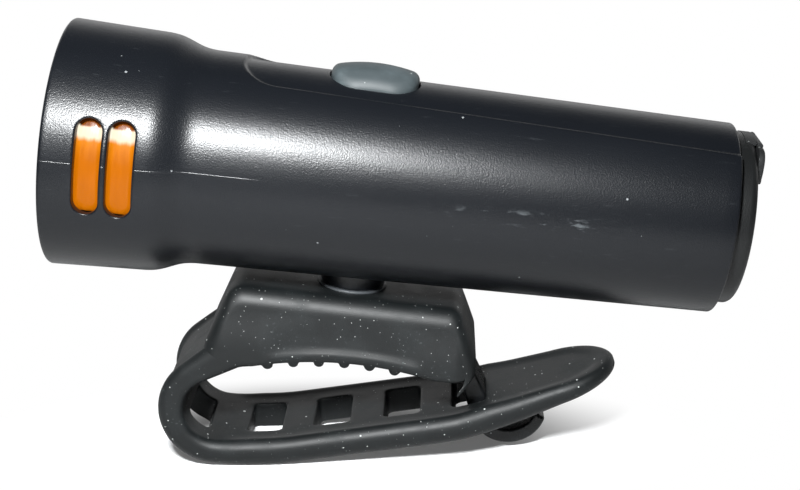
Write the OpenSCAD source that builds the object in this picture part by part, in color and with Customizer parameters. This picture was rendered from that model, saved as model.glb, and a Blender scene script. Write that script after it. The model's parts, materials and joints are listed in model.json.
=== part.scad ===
// Rechargeable bicycle headlight on a silicone handlebar strap.
// The lamp lies along X with its beam towards -X, Y is across the bike and Z is up.
// The origin is the middle of the space that clasps the handlebar, under the swivel.

/* [Lamp housing] */
// Diameter of the head at its front rim
head_d = 36; // [34.5:0.5:40]
// Diameter of the head where the neck starts
head_rear_d = 34.9; // [34:0.1:36]
// Length of the head, from the rim to the neck
head_len = 13.8; // [13.4:0.1:16]
// Length of the neck between head and tube
neck_len = 7.2; // [6:0.1:12]
// Wall of the tube at the neck
tube_front_wall = 2.75; // [2.2:0.05:3.6]
// Wall of the tube at its rear end
tube_rear_wall = 1.35; // [1.2:0.05:2.4]
// Bore of the head's chamber
chamber_d = 31.8; // [31:0.1:32.2]
// Depth of the chamber, from the rim
chamber_depth = 15.2; // [14.8:0.1:16]
// Rounding of the front rim
rim_round = 0.5; // [0.2:0.1:1]

/* [Lowered top panel] */
// Depth of the panel below the tube's skin
panel_depth = 0.6; // [0.3:0.1:0.9]
// Distance of the panel's front end behind the rim
panel_from_rim = 25.7; // [24.5:0.1:30]
// Half angle that the panel spans at its front
panel_front_angle = 27.6; // [22:0.1:32]
// Half angle that the panel spans at the rear end
panel_rear_angle = 35; // [28:0.5:38]
// Corner radius at the panel's front
panel_corner_r = 5; // [2:0.5:6]

/* [Side windows] */
// Width of one window slot, along the lamp
slot_w = 3.6; // [2.5:0.1:3.8]
// Distance of the first slot's middle behind the rim
slot_from_rim = 6.6; // [6.2:0.1:7]
// Distance from the first slot's middle to the second's
slot_pitch = 4.5; // [4.2:0.1:4.8]
// Angle that a slot spans round the head
slot_span = 45; // [25:1:60]
// Angle of a slot's middle above the side of the lamp
slot_tilt = 5; // [0:1:12]
// Thickness of the amber plate inside the head
window_t = 1.3; // [0.8:0.1:1.8]
// How far the amber bars stay below the skin
window_sink = 1; // [0.4:0.1:1.3]

/* [Switch] */
// Distance of the switch's middle behind the rim
switch_from_rim = 44.2; // [41:0.1:52]
// Length of the button
button_l = 12.7; // [10:0.1:14]
// Width of the button
button_w = 9.2; // [8:0.1:10.2]
// Corner radius of the button, seen from above
button_corner_r = 4; // [2:0.1:4.4]
// Height of the button's crown above the tube's skin
button_rise = 1.4; // [0.9:0.1:2.2]
// Radius of the crown across the button
button_crown_r = 9; // [7:0.5:14]
// Radius of the crown along the button
button_arch_r = 22; // [18:1:60]
// Travel of the button
button_travel = 0.5; // [0.2:0.1:0.5]
// Gap round the button
button_gap = 0.15; // [0.1:0.05:0.3]

/* [Optics] */
// Thickness of the lens flange
lens_flange_t = 0.8; // [0.6:0.1:1.2]
// How far the lens stands out of the rim
lens_proud = 0.5; // [0.2:0.1:0.9]
// Depth of the bezel's seat in the rim
bezel_depth = 1.9; // [1.5:0.1:2.2]
// Width of the bezel ring
bezel_w = 1.4; // [1:0.1:1.8]
// Focal length of the reflector
reflector_f = 3; // [2.4:0.1:3.4]
// Wall of the reflector
reflector_wall = 0.9; // [0.6:0.1:1.2]
// Thickness of the LED board
led_board_t = 1.5; // [1:0.1:1.6]
// Side of the LED's square base
led_side = 3.5; // [3:0.1:5]
// Height of the LED's base
led_base_h = 0.7; // [0.5:0.1:0.8]
// Radius of the LED's dome
led_dome_r = 1.3; // [1:0.1:1.45]
// Thickness of the heat sink's flange
sink_flange_t = 1.6; // [1:0.1:2]
// Length of the heat sink's plug in the tube
sink_plug_l = 8.6; // [6:0.1:8.8]

/* [Battery and boards] */
// Diameter of the cell
cell_d = 18.4; // [18:0.1:19]
// Length of the cell
cell_l = 65; // [64:0.1:66]
// How far the cell's axis lies below the lamp's axis
cell_drop = 2.6; // [2.2:0.1:3]
// Wall of the cell carrier under the cell
carrier_wall = 0.85; // [0.6:0.05:1.2]
// Distance of the cell carrier's front behind the rim
carrier_from_rim = 24.4; // [24.2:0.1:25]
// Thickness of the carrier's end walls
carrier_end = 1; // [0.8:0.1:1.2]
// Thickness of the main board
board_t = 1.2; // [0.8:0.1:1.6]
// Thickness of each foam pad
pad_t = 0.6; // [0.4:0.1:0.8]
// Thickness of the nickel tabs
tab_t = 0.15; // [0.1:0.05:0.2]
// Diameter of the insulated leads
lead_d = 1.2; // [1:0.1:1.3]

/* [Rear end] */
// Thickness of the rear cap behind the tube
cap_t = 2.8; // [2:0.1:3.5]
// Length of the cap's plug in the tube
cap_plug_l = 3.1; // [2.6:0.1:3.2]
// Chamfer round the cap
cap_chamfer = 0.8; // [0.3:0.1:1.2]
// Width of the USB socket's shell
usb_w = 8.9; // [8.4:0.1:9.1]
// Height of the USB socket's shell
usb_h = 3.2; // [2.8:0.1:3.3]
// Length of the USB socket's shell
usb_l = 7.4; // [6:0.1:8]
// Width of the port cover
cover_w = 13; // [11.5:0.5:14]
// Thickness of the port cover
cover_t = 0.9; // [0.7:0.1:1.4]
// How far the cover's pull lip stands off
cover_lip = 0.3; // [0.2:0.1:0.8]
// Length of the cover's plug in the socket opening
cover_plug_l = 1.4; // [0.8:0.1:1.5]

/* [Swivel] */
// Height of the lamp's foot below the tube
foot_h = 1.25; // [0.8:0.05:2]
// Distance of the lamp's rim ahead of the swivel
rim_ahead = 44; // [40:0.5:48]
// Diameter of the lamp's foot
foot_d = 16; // [14:0.5:17]
// Thickness of the swivel washer
washer_t = 0.3; // [0.2:0.05:0.5]
// Major diameter of the swivel screw's shank
screw_d = 2.9; // [2.6:0.1:3.1]
// Diameter of the screw's head
screw_head_d = 5.6; // [5:0.1:6]
// Height of the screw's head
screw_head_h = 2; // [1.6:0.1:2.2]
// Wall of the brass insert
insert_wall = 0.75; // [0.5:0.05:1]

/* [Saddle block] */
// Width of the saddle and its base band
saddle_w = 20; // [18:0.5:22]
// Height of the saddle's top above the origin
saddle_top = 15.2; // [15:0.1:15.4]
// Distance of the saddle's rear face behind the swivel
saddle_rear = 19.7; // [19.2:0.1:20.2]
// Height of the concave seat above the origin
seat_z = 5.8; // [5:0.1:6]
// Radius of the concave seat
seat_r = 55; // [45:1:80]
// Number of grip ribs
rib_count = 6; // [3:1:6]
// Distance between grip ribs
rib_pitch = 3.72; // [2.8:0.1:3.8]
// Radius of a grip rib
rib_r = 0.8; // [0.5:0.1:0.9]
// Thickness of the stiff mount plate
plate_t = 2.4; // [2:0.1:2.8]

/* [Strap] */
// Thickness of the straight band
strap_t = 4.2; // [3.8:0.1:4.4]
// Thickness of the strap round the bend
bend_t = 3.8; // [3.4:0.1:4.2]
// Outer radius of the bend at the front
bend_r = 8.8; // [8.2:0.1:9.4]
// Distance of the bend's centre ahead of the swivel
bend_x = 17.8; // [17.4:0.1:18.2]
// Distance of the bend's centre below the origin
bend_drop = 4.1; // [3.8:0.1:4.4]
// Width of the ladder band
band_w = 20; // [18:0.5:20]
// Width of a ladder slot across the strap
ladder_l = 9.8; // [9.2:0.1:11]
// Length of a ladder slot along the strap
ladder_w = 5.6; // [5:0.1:5.8]
// Distance between ladder slots
ladder_pitch = 10.7; // [10:0.1:11]
// Number of ladder slots before the hook's slot
ladder_count = 3; // [1:1:3]
// Depth of the recessed web inside the rims
web_depth = 0.3; // [0.1:0.1:0.8]
// Width of the rims
rim_w = 1.9; // [1.2:0.1:2.4]
// Slope of the band's straight run
run_slope = 15; // [12:0.5:17]
// Extra slope of the tail
tail_slope = 14; // [10:0.5:20]
// Length of the tail's straight end
tip_l = 14.8; // [12:0.1:18]
// Thickness of the strap at the tip of its tail
tip_t = 2.1; // [1.4:0.1:3]
// Width of the tail where it starts to round off
tail_w = 16; // [12:0.5:18]
// Width of the hook
hook_w = 8; // [6:0.1:8.6]
// Thickness of the hook's stem
stem_t = 3; // [2.4:0.1:3.6]

/* [Hidden] */
$fn = 96;
skin = 0.1;         // clearance of a piece pushed into its seat
swivel_gap = 0.08;  // radial clearance of the swivel screw in its plate
over = 1;           // how far a cutter runs past what it cuts

// Stack of the battery, measured back from the rim
pad_front = carrier_from_rim + carrier_end;
cell_front = pad_front + pad_t + tab_t;
cell_back = cell_front + cell_l;
pad_back = cell_back + tab_t;
carrier_back = pad_back + pad_t + carrier_end;
cap_front = carrier_back + 0.5;
body_len = cap_front + cap_plug_l;

// Radii of the housing at a distance s behind the rim
cell_play = 0.15;
head_r = head_d / 2;
head_rear_r = head_rear_d / 2;
bore_r = cell_drop + cell_d / 2 + cell_play + carrier_wall + skin;
tube_front_r = bore_r + tube_front_wall;
tube_rear_r = bore_r + tube_rear_wall;
chamber_r = chamber_d / 2;
neck_end = head_len + neck_len;
neck_ease = 0.7;
function tube_r(s) = tube_front_r
    + (tube_rear_r - tube_front_r) * (s - neck_end) / (body_len - neck_end);
function eased(t) = t - neck_ease * sin(360 * t) / (2 * PI);
function neck_r(s) = head_rear_r
    - (head_rear_r - tube_front_r) * eased((s - head_len) / neck_len);

// Stack of the optics, measured back from the rim
bezel_r = chamber_r + 0.6;
lens_back = bezel_depth + lens_flange_t;
seal_gap = 0.6;
reflector_front = lens_back + seal_gap;
reflector_lip = 0.6;
sink_front = chamber_depth - sink_flange_t;
led_board_front = sink_front - led_board_t;
reflector_base = led_board_front - 0.7;
window_front = reflector_front + reflector_lip + skin;
window_back = sink_front - skin;
slot_last = slot_from_rim + slot_pitch;

// Boards and socket over the cell
board_z = cell_d / 2 - cell_drop + 0.4;
board_w = cell_d + 0.2;
board_front = carrier_from_rim + 1.5;
board_back = carrier_back - 0.2;
board_top = board_z + board_t;
usb_back = body_len - skin;
usb_z = board_top + usb_h / 2;
cap_back = body_len + cap_t;
cap_r = bore_r - 0.25;

// Switch, measured from the lamp's axis
flange_z = board_top + 2.7;
flange_t = 0.7;
tact_h = 2;
tact_side = 6;
stem_r = 1.7;
button_top = tube_r(switch_from_rim) + button_rise;

// Swivel stack, measured from the origin
foot_z = saddle_top + washer_t;
lamp_z = foot_z + foot_h + tube_r(rim_ahead);
thread_gap = 0.05;
insert_r = screw_d / 2 + thread_gap + insert_wall;
insert_top = lamp_z - bore_r - 0.45;
plate_z = saddle_top - 6.6;
screw_seat_z = plate_z + 1.8;
screw_l = insert_top - 0.25 - screw_seat_z;

// Saddle and strap, measured from the origin
seat_x = 2;
seat_front_x = -15;
seat_flat_x = 13.5;
split_out = [-20.6, 5.6];
brow = [-20.2, 6.9];
shoulder = [-18, 12.7];
shoulder_r = 2.3;
bend_c = [-bend_x, -bend_drop];
inner_r = bend_r - bend_t;
bend_from = 120;
bend_tangent = 136;
seat_c = [seat_x, seat_z - seat_r];
function seat_at(x) = seat_c[1] + sqrt(pow(seat_r, 2) - pow(x - seat_x, 2));

// Path of the band's underside, by the length u from the end of the bend
run_r = 50;
tail_r = 60;
run_l = 20.3;
arc_a = run_r * run_slope * PI / 180;
arc_b = tail_r * tail_slope * PI / 180;
band_l = arc_a + run_l + arc_b + tip_l;
band_0 = [-bend_x, -bend_drop - bend_r];
function turn(p, r, a0, a1) = [p[0] + r * (sin(a1) - sin(a0)), p[1] + r * (cos(a0) - cos(a1))];
function ahead(p, l, a) = [p[0] + l * cos(a), p[1] + l * sin(a)];
band_1 = turn(band_0, run_r, 0, run_slope);
band_2 = ahead(band_1, run_l, run_slope);
tail_a = run_slope + tail_slope;
band_3 = turn(band_2, tail_r, run_slope, tail_a);
function slope_at(u) = u < arc_a ? u / run_r * 180 / PI
    : u < arc_a + run_l ? run_slope
    : u < arc_a + run_l + arc_b ? run_slope + (u - arc_a - run_l) / tail_r * 180 / PI
    : tail_a;
function band_at(u) = u < arc_a ? turn(band_0, run_r, 0, slope_at(u))
    : u < arc_a + run_l ? ahead(band_1, u - arc_a, run_slope)
    : u < arc_a + run_l + arc_b ? turn(band_2, tail_r, run_slope, slope_at(u))
    : ahead(band_3, u - arc_a - run_l - arc_b, tail_a);
thick_l = 7;
thin_l = tip_l + 4.5;
function band_t(u) = u < thick_l ? bend_t + (strap_t - bend_t) * u / thick_l
    : u < band_l - thin_l ? strap_t
    : strap_t + (tip_t - strap_t) * (u - band_l + thin_l) / thin_l;
function lifted(u, h) = ahead(band_at(u), h, slope_at(u) + 90);
ladder_u = 7.7;
hook_u = ladder_u + ladder_count * ladder_pitch;
band_steps = concat([for (i = [0 : 6]) arc_a * i / 6],
    [for (i = [0 : 8]) arc_a + run_l + arc_b * i / 8], [band_l]);

function arc(c, r, a0, a1, n) =
    [for (i = [0 : n]) let (a = a0 + (a1 - a0) * i / n) [c[0] + r * cos(a), c[1] + r * sin(a)]];

// Places its children in the lamp's own frame: X runs back from the rim, on the lamp's axis
module lamp() translate([-rim_ahead, 0, lamp_z]) children();

// Turns a profile of [distance, radius] points round the lamp's axis
module turned(points, start = 0, angle = 360)
    rotate([0, 90, 0]) rotate_extrude(start = start, angle = angle)
        polygon([for (p = points) [p[1], p[0]]]);

// A ring round the lamp's axis from a to b
module tube(a, b, r_out, r_in) turned([[a, r_in], [b, r_in], [b, r_out], [a, r_out]]);

// A solid disc on the lamp's axis from a to b
module disc(a, b, r) translate([a, 0, 0]) rotate([0, 90, 0]) cylinder(h = b - a, r = r);

// A round ring of wire on the lamp's axis
module ring(at, major, minor)
    translate([at, 0, 0]) rotate([0, 90, 0]) rotate_extrude() translate([major, 0])
        circle(r = minor, $fn = 32);

// A rectangle with round corners
module rounded(l, w, r) {
    square([l - 2 * r, w], center = true);
    square([l, w - 2 * r], center = true);
    for (x = [-1, 1], y = [-1, 1]) translate([x * (l / 2 - r), y * (w / 2 - r)]) circle(r = r);
}

// Extrudes a side profile of [x, z] points across the bike, centred
module across(points, w)
    rotate([90, 0, 0]) translate([0, 0, -w / 2]) linear_extrude(w) polygon(points);

// Two window slots of one side, drawn straight out from the lamp's axis, grown by g all round
module slots(side, g = 0) {
    length = 2 * head_rear_r * sin(slot_span / 2);
    straight = length - slot_w;
    for (at = [slot_from_rim, slot_last]) rotate([side * (90 - slot_tilt), 0, 0])
        translate([at, 0, chamber_r - 3]) linear_extrude(head_r) {
            square([slot_w + 2 * g, straight], center = true);
            for (y = [-1, 1]) translate([0, y * straight / 2]) circle(r = slot_w / 2 + g);
        }
}

// Outline of the lowered panel, seen from above, from its front to past the rear end
module panel_outline() {
    front_half = tube_r(panel_from_rim) * sin(panel_front_angle);
    rear_half = tube_rear_r * sin(panel_rear_angle);
    spread = (rear_half - front_half) / (body_len - panel_from_rim);
    far = body_len + over - panel_from_rim;
    translate([panel_from_rim, 0]) {
        polygon([[panel_corner_r, -front_half], [far, -front_half - spread * far],
            [far, front_half + spread * far], [panel_corner_r, front_half]]);
        translate([0, -front_half + panel_corner_r])
            square([panel_corner_r + over, 2 * (front_half - panel_corner_r)]);
        for (y = [-1, 1]) translate([panel_corner_r, y * (front_half - panel_corner_r)])
            circle(r = panel_corner_r);
    }
}

// Outer surface of the housing, let in by d on the tube
module housing_body(d = 0)
    turned(concat([[0, 0], [0, head_r - rim_round - d], [rim_round, head_r - d]],
        [for (i = [0 : 10]) let (s = head_len + neck_len * i / 10) [s, neck_r(s) - d]],
        [[body_len, tube_rear_r - d], [body_len, 0]]));

module housing() color("#2b2d30") lamp() {
    foot_drop = lamp_z - foot_z;
    difference() {
        union() {
            housing_body();
            translate([rim_ahead, 0, -foot_drop]) cylinder(h = foot_drop - bore_r, d = foot_d);
        }
        intersection() {
            difference() {
                disc(panel_from_rim - over, body_len + over, head_r);
                housing_body(panel_depth);
            }
            linear_extrude(head_r + over) panel_outline();
        }
        disc(-over, bezel_depth, bezel_r);
        disc(-over, chamber_depth, chamber_r);
        disc(chamber_depth - over, body_len + over, bore_r);
        for (side = [-1, 1]) slots(side);
        translate([switch_from_rim, 0, bore_r / 2]) linear_extrude(head_r) rounded(
            button_l + 2 * button_gap, button_w + 2 * button_gap, button_corner_r + button_gap);
        translate([rim_ahead, 0, -foot_drop - over]) cylinder(h = foot_drop, r = insert_r);
    }
}

module front_bezel() color("#1d1e20") lamp() {
    r_in = bezel_r - skin - bezel_w;
    turned([[bezel_depth, r_in], [bezel_depth, bezel_r - skin], [0.3, bezel_r - skin],
        [0, bezel_r - skin - 0.3], [0, r_in + 0.5], [0.5, r_in]]);
}

module front_lens() color("#e8eef2", 0.4) lamp() {
    r_face = bezel_r - bezel_w - 2 * skin;
    dome = lens_proud;
    rise_r = (pow(r_face, 2) + pow(dome, 2)) / (2 * dome);
    half = asin(r_face / rise_r);
    turned(concat([[lens_back, 0], [lens_back, chamber_r - skin],
        [bezel_depth, chamber_r - skin], [bezel_depth, r_face]],
        [for (i = [8 : -1 : 0]) let (a = half * i / 8)
            [-dome + rise_r * (1 - cos(a)), rise_r * sin(a)]]));
}

module lens_seal() color("#101112") lamp()
    ring(lens_back + seal_gap / 2, chamber_r - 0.8, seal_gap / 2 - 0.02);

// Radius of the reflector's bowl at a distance s behind the rim
function bowl(s) = sqrt(4 * reflector_f * (reflector_f + reflector_base - s));

module reflector() color("#d8dade") lamp() {
    steps = 10;
    depth = reflector_base - reflector_front;
    inner = [for (i = [0 : steps]) let (s = reflector_front + depth * i / steps) [s, bowl(s)]];
    outer = [for (i = [steps : -1 : 0]) let (s = reflector_front + depth * i / steps)
        [s, bowl(s) + reflector_wall]];
    turned(concat(inner, outer));
    tube(reflector_front, reflector_front + reflector_lip, chamber_r - skin,
        bowl(reflector_front) + reflector_wall / 2);
}

// One amber plate inside the head, with a raised bar in each slot
module side_window(side) {
    margin = 6;
    half = slot_span / 2 + margin;
    r_plate = chamber_r - skin;
    rotate([side * (90 - slot_tilt), 0, 0]) rotate([0, 90, 0])
        rotate_extrude(start = 180 - half, angle = 2 * half)
            translate([r_plate - window_t, window_front])
                square([window_t, window_back - window_front]);
    intersection() {
        tube(window_front, window_back, head_rear_r - window_sink, r_plate - window_t / 2);
        slots(side, -skin);
    }
}

module side_window_left() color("#ffa216") lamp() side_window(1);

module side_window_right() color("#ffa216") lamp() side_window(-1);

module led_emitter() color("#f2e27a") lamp() {
    base_front = led_board_front - led_base_h;
    translate([base_front, -led_side / 2, -led_side / 2]) cube([led_base_h, led_side, led_side]);
    turned(concat([[led_board_front - 0.1, 0], [led_board_front - 0.1, led_dome_r]],
        [for (i = [0 : 8]) let (a = 90 * i / 8)
            [base_front - led_dome_r * sin(a), led_dome_r * cos(a)]]));
}

module led_gasket() color("#f1f1ee") lamp() {
    hole_r = led_side / 2 * sqrt(2) + skin;
    tube(reflector_base + skin, led_board_front, 2 * reflector_f - skin, hole_r);
}

// Height of the two holes that take the LED's leads through the heat sink
lead_z = bore_r - lead_d / 2 - 2.7;
lead_y = 1.3;

module led_board() color("#e9ebe8") lamp()
    disc(led_board_front, sink_front, lead_z - lead_d / 2 - skin);

module heat_sink() color("#b9bdc1") lamp() {
    plug_back = chamber_depth + sink_plug_l;
    difference() {
        union() {
            disc(sink_front, chamber_depth, chamber_r - skin);
            disc(chamber_depth - 0.1, plug_back, bore_r - skin);
        }
        disc(chamber_depth + 2, plug_back + over, bore_r - 5);
        for (y = [-lead_y, lead_y]) translate([0, y, lead_z])
            disc(sink_front - over, plug_back + over, lead_d / 2 + 0.12);
    }
}

// One insulated lead from the LED board back to the main board
module led_lead(y) {
    bend = 1.2;
    front = led_board_front + 0.5;
    rear = board_front + 2;
    translate([0, y, lead_z]) {
        disc(front, rear, lead_d / 2);
        translate([rear, 0, -bend]) rotate([90, 0, 0]) rotate_extrude(start = 0, angle = 90)
            translate([bend, 0]) circle(d = lead_d, $fn = 24);
        translate([front, 0, -bend]) rotate([90, 0, 0]) rotate_extrude(start = 90, angle = 90)
            translate([bend, 0]) circle(d = lead_d, $fn = 24);
    }
}

module led_leads() color("#b3261e") lamp() for (y = [-lead_y, lead_y]) led_lead(y);

module cell_carrier() color("#3c4046") lamp() {
    cavity_r = cell_d / 2 + cell_play;
    mouth = 11;
    difference() {
        intersection() {
            disc(carrier_from_rim, carrier_back, bore_r - skin);
            translate([carrier_from_rim, -bore_r, -bore_r])
                cube([carrier_back - carrier_from_rim, 2 * bore_r, bore_r + board_z]);
        }
        translate([0, 0, -cell_drop])
            disc(pad_front, carrier_back - carrier_end, cavity_r);
        translate([carrier_from_rim - over, -mouth / 2, 0])
            cube([carrier_back - carrier_from_rim + 2 * over, mouth, bore_r]);
        for (x = [0.25, 0.5, 0.75]) translate([pad_front + cell_l * x, 0, -cell_drop])
            rotate([90, 0, 0]) cylinder(h = 2 * bore_r, d = 9, center = true);
    }
}

module battery_cell() color("#3f7fb5") lamp() translate([0, 0, -cell_drop]) {
    nose = 4;
    turned([[cell_front, 0], [cell_front, nose], [cell_front + 0.8, nose],
        [cell_front + 0.8, cell_d / 2 - 0.8], [cell_front + 1.6, cell_d / 2],
        [cell_back - 0.6, cell_d / 2], [cell_back, cell_d / 2 - 0.6], [cell_back, 0]]);
}

module foam_pads() color("#55585c") lamp() translate([0, 0, -cell_drop]) {
    pad_r = cell_d / 2 - 2.2;
    disc(pad_front, pad_front + pad_t, pad_r);
    disc(pad_back, pad_back + pad_t, pad_r);
}

module battery_tabs() color("#c9cbcd") lamp() for (s = [cell_front - tab_t, cell_back]) {
    tab_w = 5;
    foot = 2;
    translate([s, -tab_w / 2, -cell_drop - foot]) cube([tab_t, tab_w, board_z + cell_drop + foot]);
}

module main_board() color("#1f5d3a") lamp() translate([board_front, -board_w / 2, board_z])
    cube([board_back - board_front, board_w, board_t]);

// Chips on the board: distance behind the switch, place across, length, width, height
chips = [[14, 0, 6, 5, 1.1], [22, 4, 4, 4, 1], [22, -4, 4.4, 3.8, 1.8],
    [31, 1, 5, 6, 1.2], [38, -4, 3.2, 1.6, 0.8]];

module board_chips() color("#161718") lamp() for (c = chips)
    translate([switch_from_rim + c[0] - c[2] / 2, c[1] - c[3] / 2, board_top])
        cube([c[2], c[3], c[4]]);

module charge_leds() color("#d9e5d2") lamp() for (side = [-1, 1])
    translate([switch_from_rim + side * 4.6 - 0.5, -0.8, board_top]) cube([1, 1.6, 0.7]);

module tact_switch() color("#1a1a1c") lamp()
    translate([switch_from_rim, 0, board_top]) difference() {
        translate([-tact_side / 2, -tact_side / 2, 0]) cube([tact_side, tact_side, tact_h]);
        translate([0, 0, 0.7]) cylinder(h = tact_h, r = stem_r + skin);
    }

module switch_stem() color("#f0efe9") lamp()
    translate([switch_from_rim, 0, board_top + 0.7 + button_travel + skin])
        cylinder(h = flange_z - board_top - 0.7 - button_travel - skin, r = stem_r);

// The button: an arched and crowned cap on a flange that keeps it inside the housing
module switch_button() color("#5f6669") lamp() translate([switch_from_rim, 0, 0]) {
    inset = 0.7;
    wall_h = 1.5;
    foot = flange_z + flange_t - 0.1;
    crown_half = asin((button_w / 2 - inset) / button_crown_r);
    crown_edge = button_top - button_crown_r * (1 - cos(crown_half));
    arch_half = asin((button_l / 2 - inset) / button_arch_r);
    arch_edge = button_top - button_arch_r * (1 - cos(arch_half));
    section = concat([[button_w / 2, foot], [button_w / 2, crown_edge - wall_h]],
        arc([0, button_top - button_crown_r], button_crown_r, 90 - crown_half, 90 + crown_half,
            12), [[-button_w / 2, crown_edge - wall_h], [-button_w / 2, foot]]);
    side = concat([[button_l / 2, foot], [button_l / 2, arch_edge - wall_h / 2]],
        arc([0, button_top - button_arch_r], button_arch_r, 90 - arch_half, 90 + arch_half, 10),
        [[-button_l / 2, arch_edge - wall_h / 2], [-button_l / 2, foot]]);
    intersection() {
        translate([0, 0, foot]) linear_extrude(button_top)
            rounded(button_l, button_w, button_corner_r);
        rotate([90, 0, 90]) translate([0, 0, -button_l]) linear_extrude(2 * button_l)
            polygon(section);
        across(side, 2 * button_w);
    }
    translate([0, 0, flange_z]) linear_extrude(flange_t)
        rounded(button_l + 1.4, button_w + 1.2, button_corner_r);
}

module usb_socket() color("#c4c7ca") lamp() difference() {
    translate([usb_back - usb_l, 0, usb_z]) rotate([90, 0, 90]) linear_extrude(usb_l)
        rounded(usb_w, usb_h, 1.2);
    difference() {
        translate([usb_back - usb_l + 1, 0, usb_z]) rotate([90, 0, 90]) linear_extrude(usb_l)
            rounded(usb_w - 0.6, usb_h - 0.6, 0.9);
        translate([usb_back - usb_l, -usb_w / 2 + 1.1, usb_z - 0.35])
            cube([usb_l - 0.8, usb_w - 2.2, 0.7]);
    }
}

// Opening of the rear cap for the charging plug
port_w = usb_w + 0.3;
port_h = usb_h + 0.4;
module port_opening() translate([cap_front - over, 0, usb_z]) rotate([90, 0, 90])
    linear_extrude(cap_back - cap_front + 2 * over) rounded(port_w, port_h, 1.2);

// Seat of the cover's anchor at the top of the cap, and the cover's hinge line
anchor_w = 7;
anchor_z = usb_z + port_h / 2 + 0.25;
anchor_l = 1.6;
hinge_r = 0.45;
hinge_s = cap_back + 0.1 + hinge_r;

module rear_cap() color("#232527") lamp() difference() {
    union() {
        turned([[body_len, 0], [body_len, cap_r], [cap_back - cap_chamfer, cap_r],
            [cap_back - 0.3 * cap_chamfer, cap_r - 0.3 * cap_chamfer],
            [cap_back, cap_r - cap_chamfer], [cap_back, 0]]);
        turned([[cap_front, bore_r - 1.6], [body_len + 0.1, bore_r - 1.6],
            [body_len + 0.1, bore_r - skin], [cap_front + 2, bore_r - skin],
            [cap_front + 2, bore_r - 0.9], [cap_front + 1, bore_r - 0.9],
            [cap_front + 1, bore_r - skin], [cap_front, bore_r - skin]]);
    }
    port_opening();
    translate([cap_back - anchor_l, -anchor_w / 2, anchor_z]) cube([anchor_l + over, anchor_w, 4]);
}

module rear_seal() color("#101112") lamp() ring(cap_front + 1.5, bore_r - 0.46, 0.42);

// The still end of the port cover, set in the cap
module cover_anchor() color("#1c1d1f") lamp() intersection() {
    translate([cap_back - anchor_l + 0.05, -anchor_w / 2 + 0.05, anchor_z + 0.05])
        cube([anchor_l, anchor_w - skin, 4]);
    disc(cap_front, cap_back + 2, cap_r + 0.1);
}

// The flap: a rounded plate with a plug, a pull lip at its free edge and a rolled hinge
module port_cover() color("#1c1d1f") lamp() {
    face = cap_back + 0.1;
    top = anchor_z;
    bottom = usb_z - port_h / 2 - 1.5;
    lip_h = 1.2;
    intersection() {
        rotate([90, 0, 90]) linear_extrude(cap_back + 5)
            translate([0, (top + bottom) / 2]) rounded(cover_w, top - bottom, 2.2);
        across([[face, top], [face, bottom], [face + cover_t + cover_lip, bottom],
            [face + cover_t + cover_lip, bottom + lip_h], [face + cover_t, bottom + lip_h + 0.8],
            [face + cover_t, top - 0.2], [face + hinge_r, top]], cover_w + over);
    }
    translate([hinge_s, 0, anchor_z]) rotate([90, 0, 0])
        cylinder(h = anchor_w - 0.4, r = hinge_r, center = true, $fn = 32);
    translate([face - cover_plug_l, 0, usb_z]) rotate([90, 0, 90])
        linear_extrude(cover_plug_l + 0.1) rounded(port_w - 0.6, port_h - 1, 0.9);
}

module brass_insert() color("#c9a24a") translate([0, 0, foot_z]) difference() {
    insert_l = insert_top - foot_z;
    cylinder(h = insert_l, r = insert_r - 0.02);
    translate([0, 0, -over]) cylinder(h = insert_l + 2 * over, r = screw_d / 2 + thread_gap);
}

module swivel_screw() color("#9fa3a6") {
    translate([0, 0, screw_seat_z]) cylinder(h = screw_l, d = screw_d);
    difference() {
        translate([0, 0, screw_seat_z - screw_head_h])
            cylinder(h = screw_head_h, d = screw_head_d);
        translate([0, 0, screw_seat_z - screw_head_h - over])
            cylinder(h = 1.1 + over, d = 2.4, $fn = 6);
    }
}

module swivel_washer() color("#8e9396") translate([0, 0, saddle_top]) difference() {
    cylinder(h = washer_t, d = foot_d - 2);
    translate([0, 0, -over]) cylinder(h = washer_t + 2 * over, d = screw_d + 0.4);
}

// Stiff plate moulded into the saddle, with the hub that the lamp turns on
hub_d = 13;
access_d = screw_head_d + 1.4;
plate_l = 28;
plate_w = 13;
module plate_solid(g = 0) {
    translate([0, 0, plate_z - g]) linear_extrude(plate_t + 2 * g)
        rounded(plate_l + 2 * g, plate_w + 2 * g, 3 + g);
    translate([0, 0, plate_z]) cylinder(h = saddle_top - plate_z, d = hub_d + 2 * g);
}

module mount_plate() color("#2a2c2f") difference() {
    plate_solid();
    cylinder(h = saddle_top + over, d = screw_d + 2 * swivel_gap);
    cylinder(h = screw_seat_z, d = screw_head_d + 0.4);
    hook_anchor(0.02);
}

// The hook's root inside the saddle, grown by g: an arm that slots into the plate
hook_root_z = plate_z;
hook_root_x = plate_l / 2 - 3;
module hook_anchor(g = 0)
    translate([hook_root_x - g, -hook_w / 2 - g, hook_root_z - g])
        cube([hook_foot_x - hook_root_x + 2 * g, hook_w + 2 * g, plate_t / 2 + 2 * g]);

// A point of the hook's slot: du along the strap from its middle, h above its underside
function in_slot(du, h) = ahead(ahead(band_at(hook_u), du, slope_at(hook_u)),
    h, slope_at(hook_u) + 90);

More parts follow.
